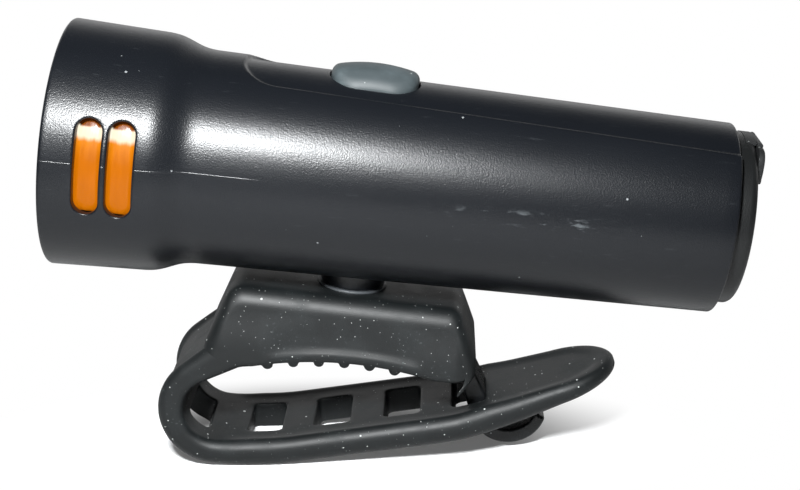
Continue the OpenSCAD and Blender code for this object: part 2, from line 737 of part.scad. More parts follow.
// Side profile of the hook: a stem out of the saddle, through the strap, and an upturned lip
hook_foot_x = saddle_rear - 1.6;
module hook_shape() {
    rear_wall = ladder_w / 2 - skin;
    front_wall = rear_wall - stem_t;
    lip_c = ahead(band_at(hook_u), ladder_w / 2 + 1.9, 0);
    lip_in_r = 4.3;
    lip_in_from = 232;
    lip_in_to = 348;
    lip_out_r = 5.8;
    lip_out_from = 350;
    lip_out_to = 215;
    across(concat([[hook_foot_x - 1.8, hook_root_z], [hook_foot_x, hook_root_z],
        [hook_foot_x + 0.5, 6.4], in_slot(rear_wall, strap_t + 0.3), in_slot(rear_wall, 0.2)],
        arc(ahead(lip_c, lip_in_r - 0.33, 90), lip_in_r, lip_in_from, lip_in_to, 8),
        arc(ahead(lip_c, lip_in_r - 1.03, 90), lip_out_r, lip_out_from, lip_out_to, 10),
        [in_slot(front_wall, 0), in_slot(front_wall, strap_t), [hook_foot_x - 1.8, 6.2]]),
        hook_w);
}

module strap_hook() color("#26282a") {
    hook_anchor();
    hook_shape();
}

// Side profile of the saddle block
rear_round = 1.5;
rear_lean = 3.05;
module saddle_profile() polygon(concat(
    [for (i = [0 : 12]) let (x = seat_front_x + (seat_flat_x - seat_front_x) * i / 12)
        [x, seat_at(x)]],
    [[saddle_rear - 0.7, seat_at(seat_flat_x) + 0.3], [saddle_rear, seat_at(seat_flat_x) + 1.1],
        [saddle_rear - 0.3, 8.5], [saddle_rear - rear_lean, saddle_top - 1.1]],
    arc([saddle_rear - rear_lean - rear_round, saddle_top - rear_round], rear_round, 15, 90, 4),
    arc([shoulder[0] + shoulder_r, saddle_top - shoulder_r], shoulder_r, 90, 165, 5),
    [brow, split_out]));

// Section of the saddle across the bike: a full-width base band, leaning sides, round shoulders
module saddle_section() {
    half = saddle_w / 2;
    side = [[half, -over], [half, 7], [half - 0.35, 7.5], [half - 1, saddle_top - 2.2]];
    shoulder = arc([half - 2.8, saddle_top - 2.1], 1.8, 10, 90, 5);
    right = concat(side, shoulder, [[hub_d / 2, saddle_top]]);
    polygon(concat(right, [for (i = [len(right) - 1 : -1 : 0]) [-right[i][0], right[i][1]]]));
}

// Outline of the saddle from above, with its rear corners rounded
module saddle_outline() {
    corner = 3.5;
    half = saddle_w / 2;
    front = split_out[0] - over;
    translate([front, -half]) square([saddle_rear - corner - front, saddle_w]);
    translate([0, -half + corner]) square([saddle_rear, saddle_w - 2 * corner]);
    for (y = [-1, 1]) translate([saddle_rear - corner, y * (half - corner)]) circle(r = corner);
}

module saddle() color("#34383a") difference() {
    union() {
        intersection() {
            rotate([90, 0, 0]) translate([0, 0, -saddle_w]) linear_extrude(2 * saddle_w)
                saddle_profile();
            rotate([90, 0, 90]) translate([0, 0, split_out[0] - over])
                linear_extrude(saddle_rear - split_out[0] + 2 * over) saddle_section();
            linear_extrude(saddle_top + over) saddle_outline();
        }
        for (i = [0 : rib_count - 1])
            let (x = -1.6 + (i - (rib_count - 1) / 2) * rib_pitch)
                translate([x, 0, seat_at(x)]) rotate([90, 0, 0])
                    cylinder(h = saddle_w - 1, r = rib_r, center = true, $fn = 24);
    }
    plate_solid(0.02);
    translate([0, 0, -over]) cylinder(h = plate_z + over, d = access_d);
    hook_anchor(0.02);
    hook_shape();
}

// A loop slot through the strap, centred at a point, turned to the strap's slope
module ladder_slot(p, slope) translate([p[0], 0, p[1]]) rotate([0, -slope, 0])
    cube([ladder_w, ladder_l, 4 * strap_t], center = true);

module strap_bend() color("#303436") difference() {
    first_slot = 232;
    across(concat([[seat_front_x, seat_at(seat_front_x)]],
        arc(bend_c, inner_r, bend_from, 270, 12), arc(bend_c, bend_r, 270, bend_tangent, 12),
        [split_out]), saddle_w);
    ladder_slot(ahead(bend_c, inner_r + bend_t / 2, first_slot), first_slot + 90);
}

// Outline of the band from above: full width, then a taper to a round tip
module band_outline(g = 0) {
    taper_x = 19;
    front = g > 0 ? g - bend_x : -bend_x - over;
    tip = band_at(band_l)[0] - g;
    round_r = tail_w / 2 - g;
    half = band_w / 2 - g;
    polygon([[front, -half], [taper_x, -half], [tip - round_r, -round_r],
        [tip - round_r, round_r], [taper_x, half], [front, half]]);
    translate([tip - round_r, 0]) circle(r = round_r);
}

module strap_band() color("#303436") difference() {
    low = -bend_r - bend_drop - over;
    tall = 2 * saddle_w;
    intersection() {
        across(concat([for (u = band_steps) band_at(u)],
            [for (i = [len(band_steps) - 1 : -1 : 0])
                lifted(band_steps[i], band_t(band_steps[i]))]), band_w + over);
        translate([0, 0, low]) linear_extrude(tall) band_outline();
    }
    intersection() {
        across(concat([for (u = band_steps) lifted(u, band_t(u) - web_depth)],
            [for (i = [len(band_steps) - 1 : -1 : 0]) lifted(band_steps[i], strap_t + over)]),
            band_w + over);
        translate([0, 0, low]) linear_extrude(tall) band_outline(rim_w);
    }
    for (i = [0 : ladder_count]) let (u = ladder_u + i * ladder_pitch)
        ladder_slot(lifted(u, strap_t / 2), slope_at(u));
}

housing();
front_bezel();
front_lens();
lens_seal();
reflector();
side_window_left();
side_window_right();
led_emitter();
led_gasket();
led_board();
heat_sink();
led_leads();
cell_carrier();
battery_cell();
foam_pads();
battery_tabs();
main_board();
board_chips();
charge_leds();
tact_switch();
usb_socket();
rear_cap();
rear_seal();
cover_anchor();
brass_insert();
swivel_screw();
switch_button();
switch_stem();
port_cover();
swivel_washer();
mount_plate();
saddle();
strap_hook();
strap_bend();
strap_band();
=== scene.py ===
# %% [markdown]
# A torch-shaped bicycle headlight on a silicone strap. The frame holds the exact solids of every
# part. Blender's job is what an exact solid can't show: soft moulded edges, rubber and its dust,
# amber windows whose glow is painted light, grain in the plastic. The frame comes first, since
# every size and place below is read from it or repeats a size of the source.

# %% The frame
import json
import math

import bmesh
import bpy
import numpy as np
from mathutils import Matrix, Vector


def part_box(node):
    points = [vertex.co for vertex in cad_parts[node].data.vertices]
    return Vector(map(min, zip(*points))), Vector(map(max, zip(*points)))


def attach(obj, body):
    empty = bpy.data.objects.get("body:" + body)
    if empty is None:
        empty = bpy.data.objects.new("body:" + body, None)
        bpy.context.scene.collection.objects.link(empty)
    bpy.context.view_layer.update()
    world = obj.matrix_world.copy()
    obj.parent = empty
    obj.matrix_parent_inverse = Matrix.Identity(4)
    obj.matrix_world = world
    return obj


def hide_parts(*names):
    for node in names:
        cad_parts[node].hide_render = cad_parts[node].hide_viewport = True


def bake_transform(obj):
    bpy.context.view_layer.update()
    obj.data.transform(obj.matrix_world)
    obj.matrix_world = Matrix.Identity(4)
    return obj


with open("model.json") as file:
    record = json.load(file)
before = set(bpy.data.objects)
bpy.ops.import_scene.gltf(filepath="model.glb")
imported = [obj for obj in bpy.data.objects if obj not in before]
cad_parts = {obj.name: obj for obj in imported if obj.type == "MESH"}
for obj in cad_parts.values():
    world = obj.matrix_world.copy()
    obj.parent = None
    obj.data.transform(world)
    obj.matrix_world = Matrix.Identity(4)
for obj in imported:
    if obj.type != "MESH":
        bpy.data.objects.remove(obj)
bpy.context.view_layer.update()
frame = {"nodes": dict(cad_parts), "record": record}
print("solids loaded:", len(frame["nodes"]))

# %% [markdown]
# The lamp is a body of revolution, so it is easiest to think of it in its own frame: s runs back
# from the front rim, y is across and z is up from the lamp's axis, all in millimetres. The strap
# is thought of in plain x, y, z millimetres. A few small functions go between these and metres.

# %% Units and the lamp's own frame
MM = 0.001
bezel_low, bezel_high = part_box("front_bezel")
RIM_X = bezel_low.x
AXIS_Z = (bezel_low.z + bezel_high.z) / 2


def on_lamp(s, y, z):
    return Vector((RIM_X + s * MM, y * MM, AXIS_Z + z * MM))


def on_bike(x, y, z):
    return Vector((x * MM, y * MM, z * MM))


def round_lamp(s, angle, r):
    """A point at an angle from the lamp's top, towards +y, and a distance from its axis."""
    return on_lamp(s, r * math.sin(angle), r * math.cos(angle))


def from_lamp(co):
    """A point as s, angle from the top and distance from the axis."""
    y, z = co.y, co.z - AXIS_Z
    return (co.x - RIM_X) / MM, math.atan2(y, z), math.hypot(y, z) / MM


def new_object(name, data):
    thing = bpy.data.objects.new(name, data)
    bpy.context.scene.collection.objects.link(thing)
    return thing


print("rim at %.1f mm, axis at %.2f mm" % (RIM_X / MM, AXIS_Z / MM))

# %% [markdown]
# The camera is made first. It stands where the photographer stood: a little above the lamp and
# almost square to its side, with a long lens, rolled a few degrees because the lamp was leaning.

# %% Camera
FOCAL_PIXELS = 1600.9
IMAGE_WIDTH = 800
SENSOR = 36
CAMERA_PLACE = Vector((0.00387, -0.22575, 0.09737))
yaw, pitch, roll = math.radians(0.66), math.radians(18.5), math.radians(6.7)
forward = Vector((math.sin(yaw) * math.cos(pitch), math.cos(yaw) * math.cos(pitch),
                  -math.sin(pitch)))
level = Vector((math.cos(yaw), -math.sin(yaw), 0))
upright = level.cross(forward)
camera_right = level * math.cos(roll) + upright * math.sin(roll)
camera_up = upright * math.cos(roll) - level * math.sin(roll)
camera_data = bpy.data.cameras.new("camera")
camera_data.sensor_width = SENSOR
camera_data.lens = FOCAL_PIXELS * SENSOR / IMAGE_WIDTH
camera_data.clip_start = 0.01
camera = new_object("camera", camera_data)
stand = Matrix((camera_right, camera_up, -forward)).transposed().to_4x4()
stand.translation = CAMERA_PLACE
camera.matrix_world = stand
bpy.context.scene.camera = camera
print("lens %.1f mm" % camera_data.lens)

# %% [markdown]
# Most pieces end the same way: the bmesh becomes an object, its faces are smoothed with the real
# corners kept sharp, it is told which body it rides on and which material slot it uses, and the
# solids it stands for are hidden.

# %% Finishing a piece
pieces, piece_slots = {}, {}


def mesh_object(name, bm):
    mesh = bpy.data.meshes.new(name)
    bm.to_mesh(mesh)
    bm.free()
    return new_object(name, mesh)


def smooth(mesh, sharp):
    mesh.shade_smooth()
    mesh.set_sharp_from_angle(angle=math.radians(sharp))


def finish_piece(name, bm, body, slot, nodes, sharp=42):
    piece = mesh_object(name, bm)
    smooth(piece.data, sharp)
    if body:
        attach(piece, body)
    if nodes:
        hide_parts(*nodes)
    pieces[name], piece_slots[name] = piece, slot
    print("%-16s %6d faces" % (name, len(piece.data.polygons)))
    return piece


# %% [markdown]
# Turned pieces (bezel, lens, reflector, cap, housing) are a profile spun round the lamp's axis,
# the way a lathe makes them. A corner of a profile may have a radius as its third number, and is
# then rounded with a short arc. A closed profile gives a ring, and an open one that starts and
# ends on the axis gives a disc.

# %% Turning a profile
def rounded_path(points, closed, steps=5):
    out = []
    count = len(points)
    for i, point in enumerate(points):
        radius = point[2] if len(point) > 2 else 0
        here = Vector(point[:2])
        if not radius or (not closed and i in (0, count - 1)):
            out.append(tuple(here))
            continue
        back = (Vector(points[i - 1][:2]) - here).normalized()
        ahead = (Vector(points[(i + 1) % count][:2]) - here).normalized()
        half = back.angle(ahead) / 2
        centre = here + (back + ahead).normalized() * radius / math.sin(half)
        first = here + back * radius / math.tan(half) - centre
        last = here + ahead * radius / math.tan(half) - centre
        turn = first.angle_signed(last)
        for k in range(steps + 1):
            arm = first.copy()
            arm.rotate(Matrix.Rotation(-turn * k / steps, 2))
            out.append(tuple(centre + arm))
    return out


def spun(path, place, centre, axis, segments, closed=True):
    """A path of points, spun once round an axis."""
    bm = bmesh.new()
    points = [bm.verts.new(place(*point)) for point in path]
    pairs = list(zip(points, points[1:])) + ([(points[-1], points[0])] if closed else [])
    lines = [bm.edges.new(pair) for pair in pairs]
    bmesh.ops.spin(bm, geom=points + lines, cent=centre, axis=axis, angle=2 * math.pi,
                   steps=segments, use_merge=True)
    bmesh.ops.remove_doubles(bm, verts=bm.verts, dist=1e-6)
    bmesh.ops.recalc_face_normals(bm, faces=bm.faces)
    return bm


def turned(profile, closed=True, segments=144, steps=5):
    """A piece turned round the lamp's axis."""
    return spun(rounded_path(profile, closed, steps), lambda s, r: on_lamp(s, 0, r),
                on_lamp(0, 0, 0), (1, 0, 0), segments, closed)


def turned_upright(profile, steps=5):
    """A piece turned round the swivel's axis, which is the frame's own z."""
    return spun(rounded_path(profile, True, steps), lambda r, z: on_bike(r, 0, z),
                (0, 0, 0), (0, 0, 1), 96)


# %% [markdown]
# The front: a clipped-in bezel ring, a slightly domed glass lens and a vacuum-coated bowl. Each
# gets its small edge radii, which catch the thin bright lines that tell the eye how big it is.

# %% Bezel, lens and reflector
BEZEL_R, BEZEL_IN, BEZEL_SEAT, LENS_R, FLANGE_R = 16.4, 15.0, 1.9, 14.9, 15.8
finish_piece("bezel_ring", turned([(BEZEL_SEAT, BEZEL_IN), (BEZEL_SEAT, BEZEL_R),
                                   (0, BEZEL_R, 0.3), (0, BEZEL_IN, 0.45)]),
             "lamp", "bezel", ["front_bezel"])
DOME_RISE, DOME_STEPS, LENS_BACK = 0.5, 10, 2.7
quarter = [math.pi / 2 * k / DOME_STEPS for k in range(DOME_STEPS + 1)]
dome = [(-DOME_RISE * math.cos(a), LENS_R * math.sin(a)) for a in quarter]
rim = [(BEZEL_SEAT, LENS_R), (BEZEL_SEAT, FLANGE_R), (LENS_BACK, FLANGE_R), (LENS_BACK, 0)]
finish_piece("lens_dome", turned(dome + rim, closed=False), "lamp", "lens", ["front_lens"])
BOWL_F, BOWL_BASE, BOWL_WALL = 3.0, 11.4, 0.9
BOWL_RIM, BOWL_LIP, BOWL_DEEP, BOWL_STEPS = 3.3, 3.9, 8.1, 24


def bowl(s, wall=0.0):
    return math.sqrt(4 * BOWL_F * (BOWL_F + BOWL_BASE - s)) + wall


depths = [BOWL_RIM + BOWL_DEEP * k / BOWL_STEPS for k in range(BOWL_STEPS + 1)]
inner = [(s, bowl(s)) for s in depths]
outer = [(s, bowl(s, BOWL_WALL)) for s in reversed(depths) if s > BOWL_LIP]
finish_piece("reflector_bowl", turned(inner + outer + [(BOWL_LIP, FLANGE_R), (BOWL_RIM, FLANGE_R)]),
             "lamp", "reflector", ["reflector"])

# %% [markdown]
# Holes need care. Each is a rounded outline cut through a skin that is a fine grid. The grid's
# faces inside the outline are deleted, the points round the hole are moved onto the outline, and
# the rim is extruded inwards in a quarter circle, so that the edge is rolled as a moulded edge is.
# Where there is an inner skin, a bridge of faces joins the two rims.

# %% Outlines of holes
OUTLINE_POINTS = 720


def outline(half_l, half_w, corner, grow=0.0):
    """Rounded rectangle as an array of points, the same index at the same place at any grow."""
    arc = corner * math.pi / 2
    straight_l, straight_w = 2 * (half_l - corner), 2 * (half_w - corner)
    total = 2 * (straight_l + straight_w) + 4 * arc
    points = []
    for i in range(OUTLINE_POINTS):
        d = total * i / OUTLINE_POINTS
        for cx, cy, a0, run in ((1, -1, 0, straight_w), (1, 1, 90, straight_l),
                                (-1, 1, 180, straight_w), (-1, -1, 270, straight_l)):
            along = Vector((-math.sin(math.radians(a0)), math.cos(math.radians(a0))))
            out = Vector((math.cos(math.radians(a0)), math.sin(math.radians(a0))))
            start = Vector((cx * (half_l - corner), cy * (half_w - corner)))
            if d <= run:
                points.append(start + along * d + out * (corner + grow))
                break
            d -= run
            if d <= arc:
                a = math.radians(a0) + d / corner
                corner_at = start + along * run
                points.append(corner_at + Vector((math.cos(a), math.sin(a))) * (corner + grow))
                break
            d -= arc
    return np.array(points)


def rim_loop(edges):
    """Points of a closed loop of edges, in order."""
    link = {}
    for e in edges:
        for v in e.verts:
            link.setdefault(v, []).append(e.other_vert(v))
    start = edges[0].verts[0]
    loop = [start, link[start][0]]
    while True:
        after = [v for v in link[loop[-1]] if v != loop[-2]][0]
        if after == start:
            return loop
        loop.append(after)


# %% [markdown]
# The points of a rim are first put where the outline is nearest, and then evened out along it, so
# that no face of the rolled lip is a sliver. Each lip is four short extrusions along a quarter
# circle.

# %% Rims of holes
def only(geom, kind):
    return [g for g in geom if isinstance(g, kind)]


VERT, EDGE, FACE = bmesh.types.BMVert, bmesh.types.BMEdge, bmesh.types.BMFace


def settle(loop, flat, size):
    """Gives each point of a rim its index on the outline, evened out along it."""
    curve = outline(*size)
    index = []
    for v in loop:
        gap = np.linalg.norm(curve - np.array(flat(v.co)), axis=1)
        index.append(int(gap.argmin()))
    place = np.unwrap(np.array(index) * 2 * math.pi / OUTLINE_POINTS)
    whole = 2 * math.pi * (1 if np.diff(place).sum() > 0 else -1)
    for _ in range(12):
        before = np.roll(place, 1)
        before[0] -= whole
        after = np.roll(place, -1)
        after[-1] += whole
        place = (before + 2 * place + after) / 4
    return np.round(place * OUTLINE_POINTS / (2 * math.pi)).astype(int) % OUTLINE_POINTS


def rims_of(edges):
    """Groups the edges of several rims into one list for each rim."""
    rims, left = [], set(edges)
    while left:
        seed = left.pop()
        group, queue = {seed}, [seed]
        while queue:
            for v in queue.pop().verts:
                for other in v.link_edges:
                    if other in left:
                        left.discard(other)
                        group.add(other)
                        queue.append(other)
        rims.append(list(group))
    return rims


def roll_lip(bm, rim, loop, index, size, skin, lip, steps=4):
    """Rolls a rim inwards in a quarter circle, and gives back the edges it ends with."""
    for v, i in zip(loop, outline(*size, grow=lip)[index]):
        v.co = skin(*i, 0.0)
    where, edges = dict(zip(loop, index)), rim
    for k in range(1, steps + 1):
        a = math.pi / 2 * k / steps
        curve = outline(*size, grow=lip * (1 - math.sin(a)))
        made = bmesh.ops.extrude_edge_only(bm, edges=edges)["geom"]
        fresh = only(made, VERT)
        edges = [e for e in only(made, EDGE) if e.verts[0] in fresh and e.verts[1] in fresh]
        moved = {}
        for v in fresh:
            old = next(e.other_vert(v) for e in v.link_edges if e.other_vert(v) in where)
            moved[v] = where[old]
        for v, i in moved.items():
            v.co = skin(*curve[i], lip * (1 - math.cos(a)))
        where = moved
    return edges


def open_hole(bm, size, flat, doomed, skins, lip):
    """Cuts a hole through one or two skins. skins are functions (p, q, depth) -> point."""
    rim_edges = {e for f in doomed for e in f.edges}
    rim_edges = [e for e in rim_edges if any(f not in doomed for f in e.link_faces)]
    bmesh.ops.delete(bm, geom=list(doomed), context="FACES")
    ends = []
    for rim in rims_of(e for e in rim_edges if e.is_valid):
        loop = rim_loop(rim)
        skin = nearest_skin(loop, skins)
        ends.append(roll_lip(bm, rim, loop, settle(loop, flat, size), size, skin, lip))
    bmesh.ops.bridge_loops(bm, edges=ends[0] + ends[1])


def nearest_skin(loop, skins):
    """The skin that a rim lies on is the one whose middle is nearest to the rim's."""
    middle = sum((v.co for v in loop), Vector()) / len(loop)
    return min(skins, key=lambda skin: (skin(0, 0, 0) - middle).length)


print("outline of a hole has", OUTLINE_POINTS, "places")

# %% [markdown]
# The housing is one moulded shell. Its profile is spun with the columns bunched up where the
# detail is, at the panel's edges and the windows. The lowered panel on top is not cut: the skin
# there is pushed in by a smooth step of its distance from the panel's outline, which gives the
# soft edge of a moulded recess that catches a thin line of light.

# %% Sizes of the housing
HEAD_LEN, NECK_LEN, BODY_LEN = 13.8, 7.2, 96.5
HEAD_R, HEAD_REAR_R, TUBE_FRONT_R, TUBE_REAR_R = 18.0, 17.45, 15.65, 14.25
BORE_R, CHAMBER_R, CHAMBER_END, SEAT_HOLE_R = 12.9, 15.9, 15.2, 16.5
NECK_END = HEAD_LEN + NECK_LEN
PANEL_DEPTH, PANEL_FRONT, PANEL_CORNER, PANEL_EDGE = 0.6, 25.7, 5.0, 0.75
PANEL_ANGLE_FRONT, PANEL_ANGLE_REAR, NECK_SWING = 27.6, 35, 0.7


def tube_r(s):
    return TUBE_FRONT_R + (TUBE_REAR_R - TUBE_FRONT_R) * (s - NECK_END) / (BODY_LEN - NECK_END)


def skin_r(s):
    if s <= HEAD_LEN:
        return HEAD_R + (HEAD_REAR_R - HEAD_R) * s / HEAD_LEN
    if s < NECK_END:
        t = (s - HEAD_LEN) / NECK_LEN
        return HEAD_REAR_R - (HEAD_REAR_R - TUBE_FRONT_R) * (
            t - NECK_SWING * math.sin(2 * math.pi * t) / (2 * math.pi))
    return tube_r(s)


def inside_corner(dx, dy, corner):
    """How far a place lies inside two straight edges that meet in a rounded corner."""
    if dx < corner and dy < corner:
        return corner - math.hypot(corner - dx, corner - dy)
    return min(dx, dy)


def smooth_step(low, high, value):
    t = min(1.0, max(0.0, (value - low) / (high - low)))
    return t * t * (3 - 2 * t)


PANEL_HALF_FRONT = tube_r(PANEL_FRONT) * math.sin(math.radians(PANEL_ANGLE_FRONT))
PANEL_HALF_REAR = TUBE_REAR_R * math.sin(math.radians(PANEL_ANGLE_REAR))


def panel_depth(s, y):
    """How deep the panel is let in at a place, from its distance inside the outline."""
    spread = (PANEL_HALF_REAR - PANEL_HALF_FRONT) / (BODY_LEN - PANEL_FRONT)
    dx = s - PANEL_FRONT
    dy = PANEL_HALF_FRONT + spread * dx - abs(y)
    inset = inside_corner(dx, dy, PANEL_CORNER)
    return PANEL_DEPTH * smooth_step(-PANEL_EDGE / 2, PANEL_EDGE / 2, inset)


# %% [markdown]
# The spun shell has even columns, so each point is then turned to its column's real angle, and
# pushed in where the panel is.

# %% Spinning the shell
COLUMNS = 210
column_places = np.interp(np.arange(COLUMNS // 2 + 1), [0, 10, 37, 46, 85, 105],
                          [0, 20, 42, 60, 115, 180])


def stops(*runs):
    """Places along the lamp: (from, to, step) for each run."""
    out = []
    for low, high, step in runs:
        count = max(1, round((high - low) / step))
        out += [low + (high - low) * k / count for k in range(count)]
    return out


rows = stops((0.9, 3.6, 0.9), (3.6, 14, 0.4), (14, 22, 0.5), (22, 25, 0.6), (25, 27.6, 0.2),
             (27.6, 31.6, 0.4), (31.6, 36, 1.1), (36, 52.4, 0.4), (52.4, 96, 1.8))
outer = [(s, skin_r(s)) for s in rows]
inner_rows = [s for s in rows if 2.4 < s < 14.6] + [s for s in rows if 15.6 < s < 95.5]
inner = [(s, CHAMBER_R if s < CHAMBER_END else BORE_R) for s in inner_rows]
turn_in = [(CHAMBER_END, CHAMBER_R), (CHAMBER_END, BORE_R)]
chamber = [p for p in inner if p[1] == CHAMBER_R]
bore = [p for p in inner if p[1] == BORE_R]
front_edge = [(0, SEAT_HOLE_R), (0, HEAD_R, 0.45)]
rear_edge = [(BODY_LEN, TUBE_REAR_R, 0.35), (BODY_LEN, BORE_R)]
profile = (front_edge + outer + rear_edge + bore[::-1] + turn_in[::-1] + chamber[::-1]
           + [(BEZEL_SEAT, CHAMBER_R), (BEZEL_SEAT, SEAT_HOLE_R)])
shell = turned(profile, segments=COLUMNS, steps=4)

for v in shell.verts:
    s, angle, r = from_lamp(v.co)
    even = abs(angle) / math.pi * (COLUMNS // 2)
    bunched = np.interp(even, range(COLUMNS // 2 + 1), column_places)
    angle = math.copysign(math.radians(bunched), v.co.y)
    if r > SEAT_HOLE_R + 0.1 or (s > CHAMBER_END + 0.3 and r > BORE_R + 0.4):
        r -= panel_depth(s, r * math.sin(angle)) * (math.cos(angle) > 0)
    v.co = round_lamp(s, angle, r)
print("shell:", len(shell.verts), "points")

# %% [markdown]
# Each side of the head has two upright slots for the amber windows, and the tube has one rounded
# hole for the button. The slots go straight in towards the lamp's axis, so their outline is drawn
# on a flat that faces the middle of the slot, 5 degrees above the side of the lamp.

# %% Slots and button hole
SLOT_CENTRES, SLOT_W, SLOT_TILT, SLOT_SPAN, NEAR = (6.6, 11.1), 3.6, 5.0, 45, 0.6
SLOT_HALF = HEAD_REAR_R * math.sin(math.radians(SLOT_SPAN / 2))
SLOT_END_R = SLOT_W / 2 - 0.01
SLOT_SIZE, SLOT_LIP = (SLOT_W / 2, SLOT_HALF, SLOT_END_R), 0.35


def cut_slot(side, centre):
    middle = side * math.radians(90 - SLOT_TILT)

    def flat(co):
        s, angle, r = from_lamp(co)
        return s - centre, r * math.sin(angle - middle)

    def skin(radius, inwards):
        def place(p, q, depth):
            r = radius(centre + p) + inwards * depth
            return round_lamp(centre + p, middle + math.asin(q / r), r)
        return place

    doomed = set()
    for f in shell.faces:
        s, angle, r = from_lamp(f.calc_center_median())
        p, off = s - centre, angle - middle
        if abs(p) < SLOT_W and abs(off) < NEAR:
            over = max(0.0, abs(skin_r(s) * math.sin(off)) - (SLOT_HALF - SLOT_W / 2))
            if math.hypot(p, over) < SLOT_W / 2 + 0.25:
                doomed.add(f)
    skins = [skin(skin_r, -1), skin(lambda s: CHAMBER_R, 1)]
    open_hole(shell, SLOT_SIZE, flat, doomed, skins, SLOT_LIP)


for side in (-1, 1):
    for centre in SLOT_CENTRES:
        cut_slot(side, centre)


# %% [markdown]
# The hole for the button goes straight down through the lowered panel. Its outline is the
# button's own, wider by a small gap all round.

# %% The hole for the button
BUTTON_S, BUTTON_L, BUTTON_W, BUTTON_GAP, HOLE_CORNER = 44.2, 12.7, 9.2, 0.15, 4.15
HOLE_SIZE = (BUTTON_L / 2 + BUTTON_GAP, BUTTON_W / 2 + BUTTON_GAP, HOLE_CORNER)


def button_flat(co):
    return from_lamp(co)[0] - BUTTON_S, co.y / MM


def button_skin(outside):
    def place(p, q, depth):
        r = skin_r(BUTTON_S + p) - PANEL_DEPTH if outside else BORE_R
        z = math.sqrt(r * r - q * q)
        return on_lamp(BUTTON_S + p, q, z - depth if outside else z + depth)
    return place


def inside_by(p, q, half_l, half_w, corner):
    """How far a place lies inside a rounded rectangle."""
    return inside_corner(half_l - abs(p), half_w - abs(q), corner)


doomed = set()
for f in shell.faces:
    s, angle, r = from_lamp(f.calc_center_median())
    q = (skin_r(s) - PANEL_DEPTH) * math.sin(angle)
    if inside_by(s - BUTTON_S, q, *HOLE_SIZE) > -0.2 and abs(angle) < NEAR:
        doomed.add(f)
open_hole(shell, HOLE_SIZE, button_flat, doomed, [button_skin(True), button_skin(False)], 0.25)
finish_piece("housing_shell", shell, "lamp", "housing", ["housing"], sharp=35)

# %% [markdown]
# Under the tube stands a short round foot with the swivel's brass insert in it. On the real
# housing it is moulded on, so it gets the same black finish. Its top is inside the tube's wall.
# The thin ring below it belongs to the mount, and is what the foot turns on.

# %% Foot of the swivel
FOOT_R, FOOT_Z, FOOT_BORE, FOOT_TOP_R = 4.8, 15.5, 2.3, 14.6
RING_R, RING_BORE, RING_Z = FOOT_R + 0.35, 1.65, 15.2
foot = turned_upright([(FOOT_BORE, FOOT_Z), (FOOT_R, FOOT_Z, 0.4), (FOOT_R, FOOT_Z + 4.6),
                       (FOOT_BORE, FOOT_Z + 3.0)])
for v in foot.verts:
    if v.co.z > (FOOT_Z + 1) * MM:
        v.co.z = AXIS_Z - math.sqrt((FOOT_TOP_R * MM) ** 2 - v.co.y ** 2)
finish_piece("swivel_foot", foot, "lamp", "housing", ["housing"])
washer = turned_upright([(RING_BORE, RING_Z), (RING_R, RING_Z), (RING_R, FOOT_Z, 0.12),
                         (RING_BORE, FOOT_Z)], 3)
finish_piece("swivel_ring", washer, "mount", "carrier_plastic", ["swivel_washer"])

# %% [markdown]
# The amber bars are clear plastic, with round ends, that stand in the slots a millimetre below
# the skin. A bar starts as a flat stadium, is extruded, its top edge is rolled, and it is then cut
# across in many places so that it can be bent round the head.

# %% Amber bars and the plates behind them
WINDOW_GAP, WINDOW_SINK, PLATE_R, PLATE_T = 0.1, 1.0, 15.8, 1.3
PLATE_L, PLATE_S, PLATE_HALF_SPAN = 9.3, 8.7, 28.5


def soften(bm, faces, offset, segments):
    """Rolls the edges of some faces."""
    bmesh.ops.bevel(bm, geom=list({e for f in faces for e in f.edges}), offset=offset,
                    offset_type="OFFSET", segments=segments, profile=0.5, affect="EDGES",
                    material=-1)


def window_piece(name, side, node):
    bm = bmesh.new()
    placed = set()

    def fresh(kind):
        return [g for g in kind
                if placed.isdisjoint({g} if isinstance(g, VERT) else g.verts)]

    def bend(reach, low_r, high_r, centre, cuts=13):
        """Cuts the newest part across, and bends it round the head between two radii."""
        for k in range(1, cuts):
            bmesh.ops.bisect_plane(bm, geom=fresh(bm.verts) + fresh(bm.edges) + fresh(bm.faces),
                                   plane_co=(0, reach * (2 * k / cuts - 1), 0),
                                   plane_no=(0, 1, 0))
        middle = side * math.radians(90 - SLOT_TILT)
        for v in fresh(bm.verts):
            r = low_r + (high_r - low_r) * v.co.z
            angle = middle + side * math.asin(v.co.y / r)
            v.co = round_lamp(centre + v.co.x, angle, r)
            placed.add(v)

    half_w, reach = SLOT_W / 2 - WINDOW_GAP, SLOT_HALF - WINDOW_GAP
    for centre in SLOT_CENTRES:
        bmesh.ops.create_circle(bm, cap_ends=True, segments=48, radius=half_w)
        for v in fresh(bm.verts):
            v.co.y += math.copysign(reach - half_w, v.co.y)
        made = bmesh.ops.extrude_face_region(bm, geom=fresh(bm.faces))["geom"]
        bmesh.ops.translate(bm, verts=only(made, VERT), vec=(0, 0, 1))
        soften(bm, only(made, FACE), 0.6, 5)
        bend(reach, PLATE_R - 0.4, HEAD_REAR_R - WINDOW_SINK, centre)
    bmesh.ops.create_cube(bm, size=1)
    reach = (PLATE_R - PLATE_T) * math.sin(math.radians(PLATE_HALF_SPAN))
    for v in fresh(bm.verts):
        v.co = (v.co.x * PLATE_L, v.co.y * 2 * reach, v.co.z + 0.5)
    bend(reach, PLATE_R - PLATE_T, PLATE_R, PLATE_S)
    bmesh.ops.recalc_face_normals(bm, faces=bm.faces)
    finish_piece(name, bm, "lamp", "amber_window", [node])


window_piece("amber_bars_near", -1, "side_window_left")
window_piece("amber_bars_far", 1, "side_window_right")
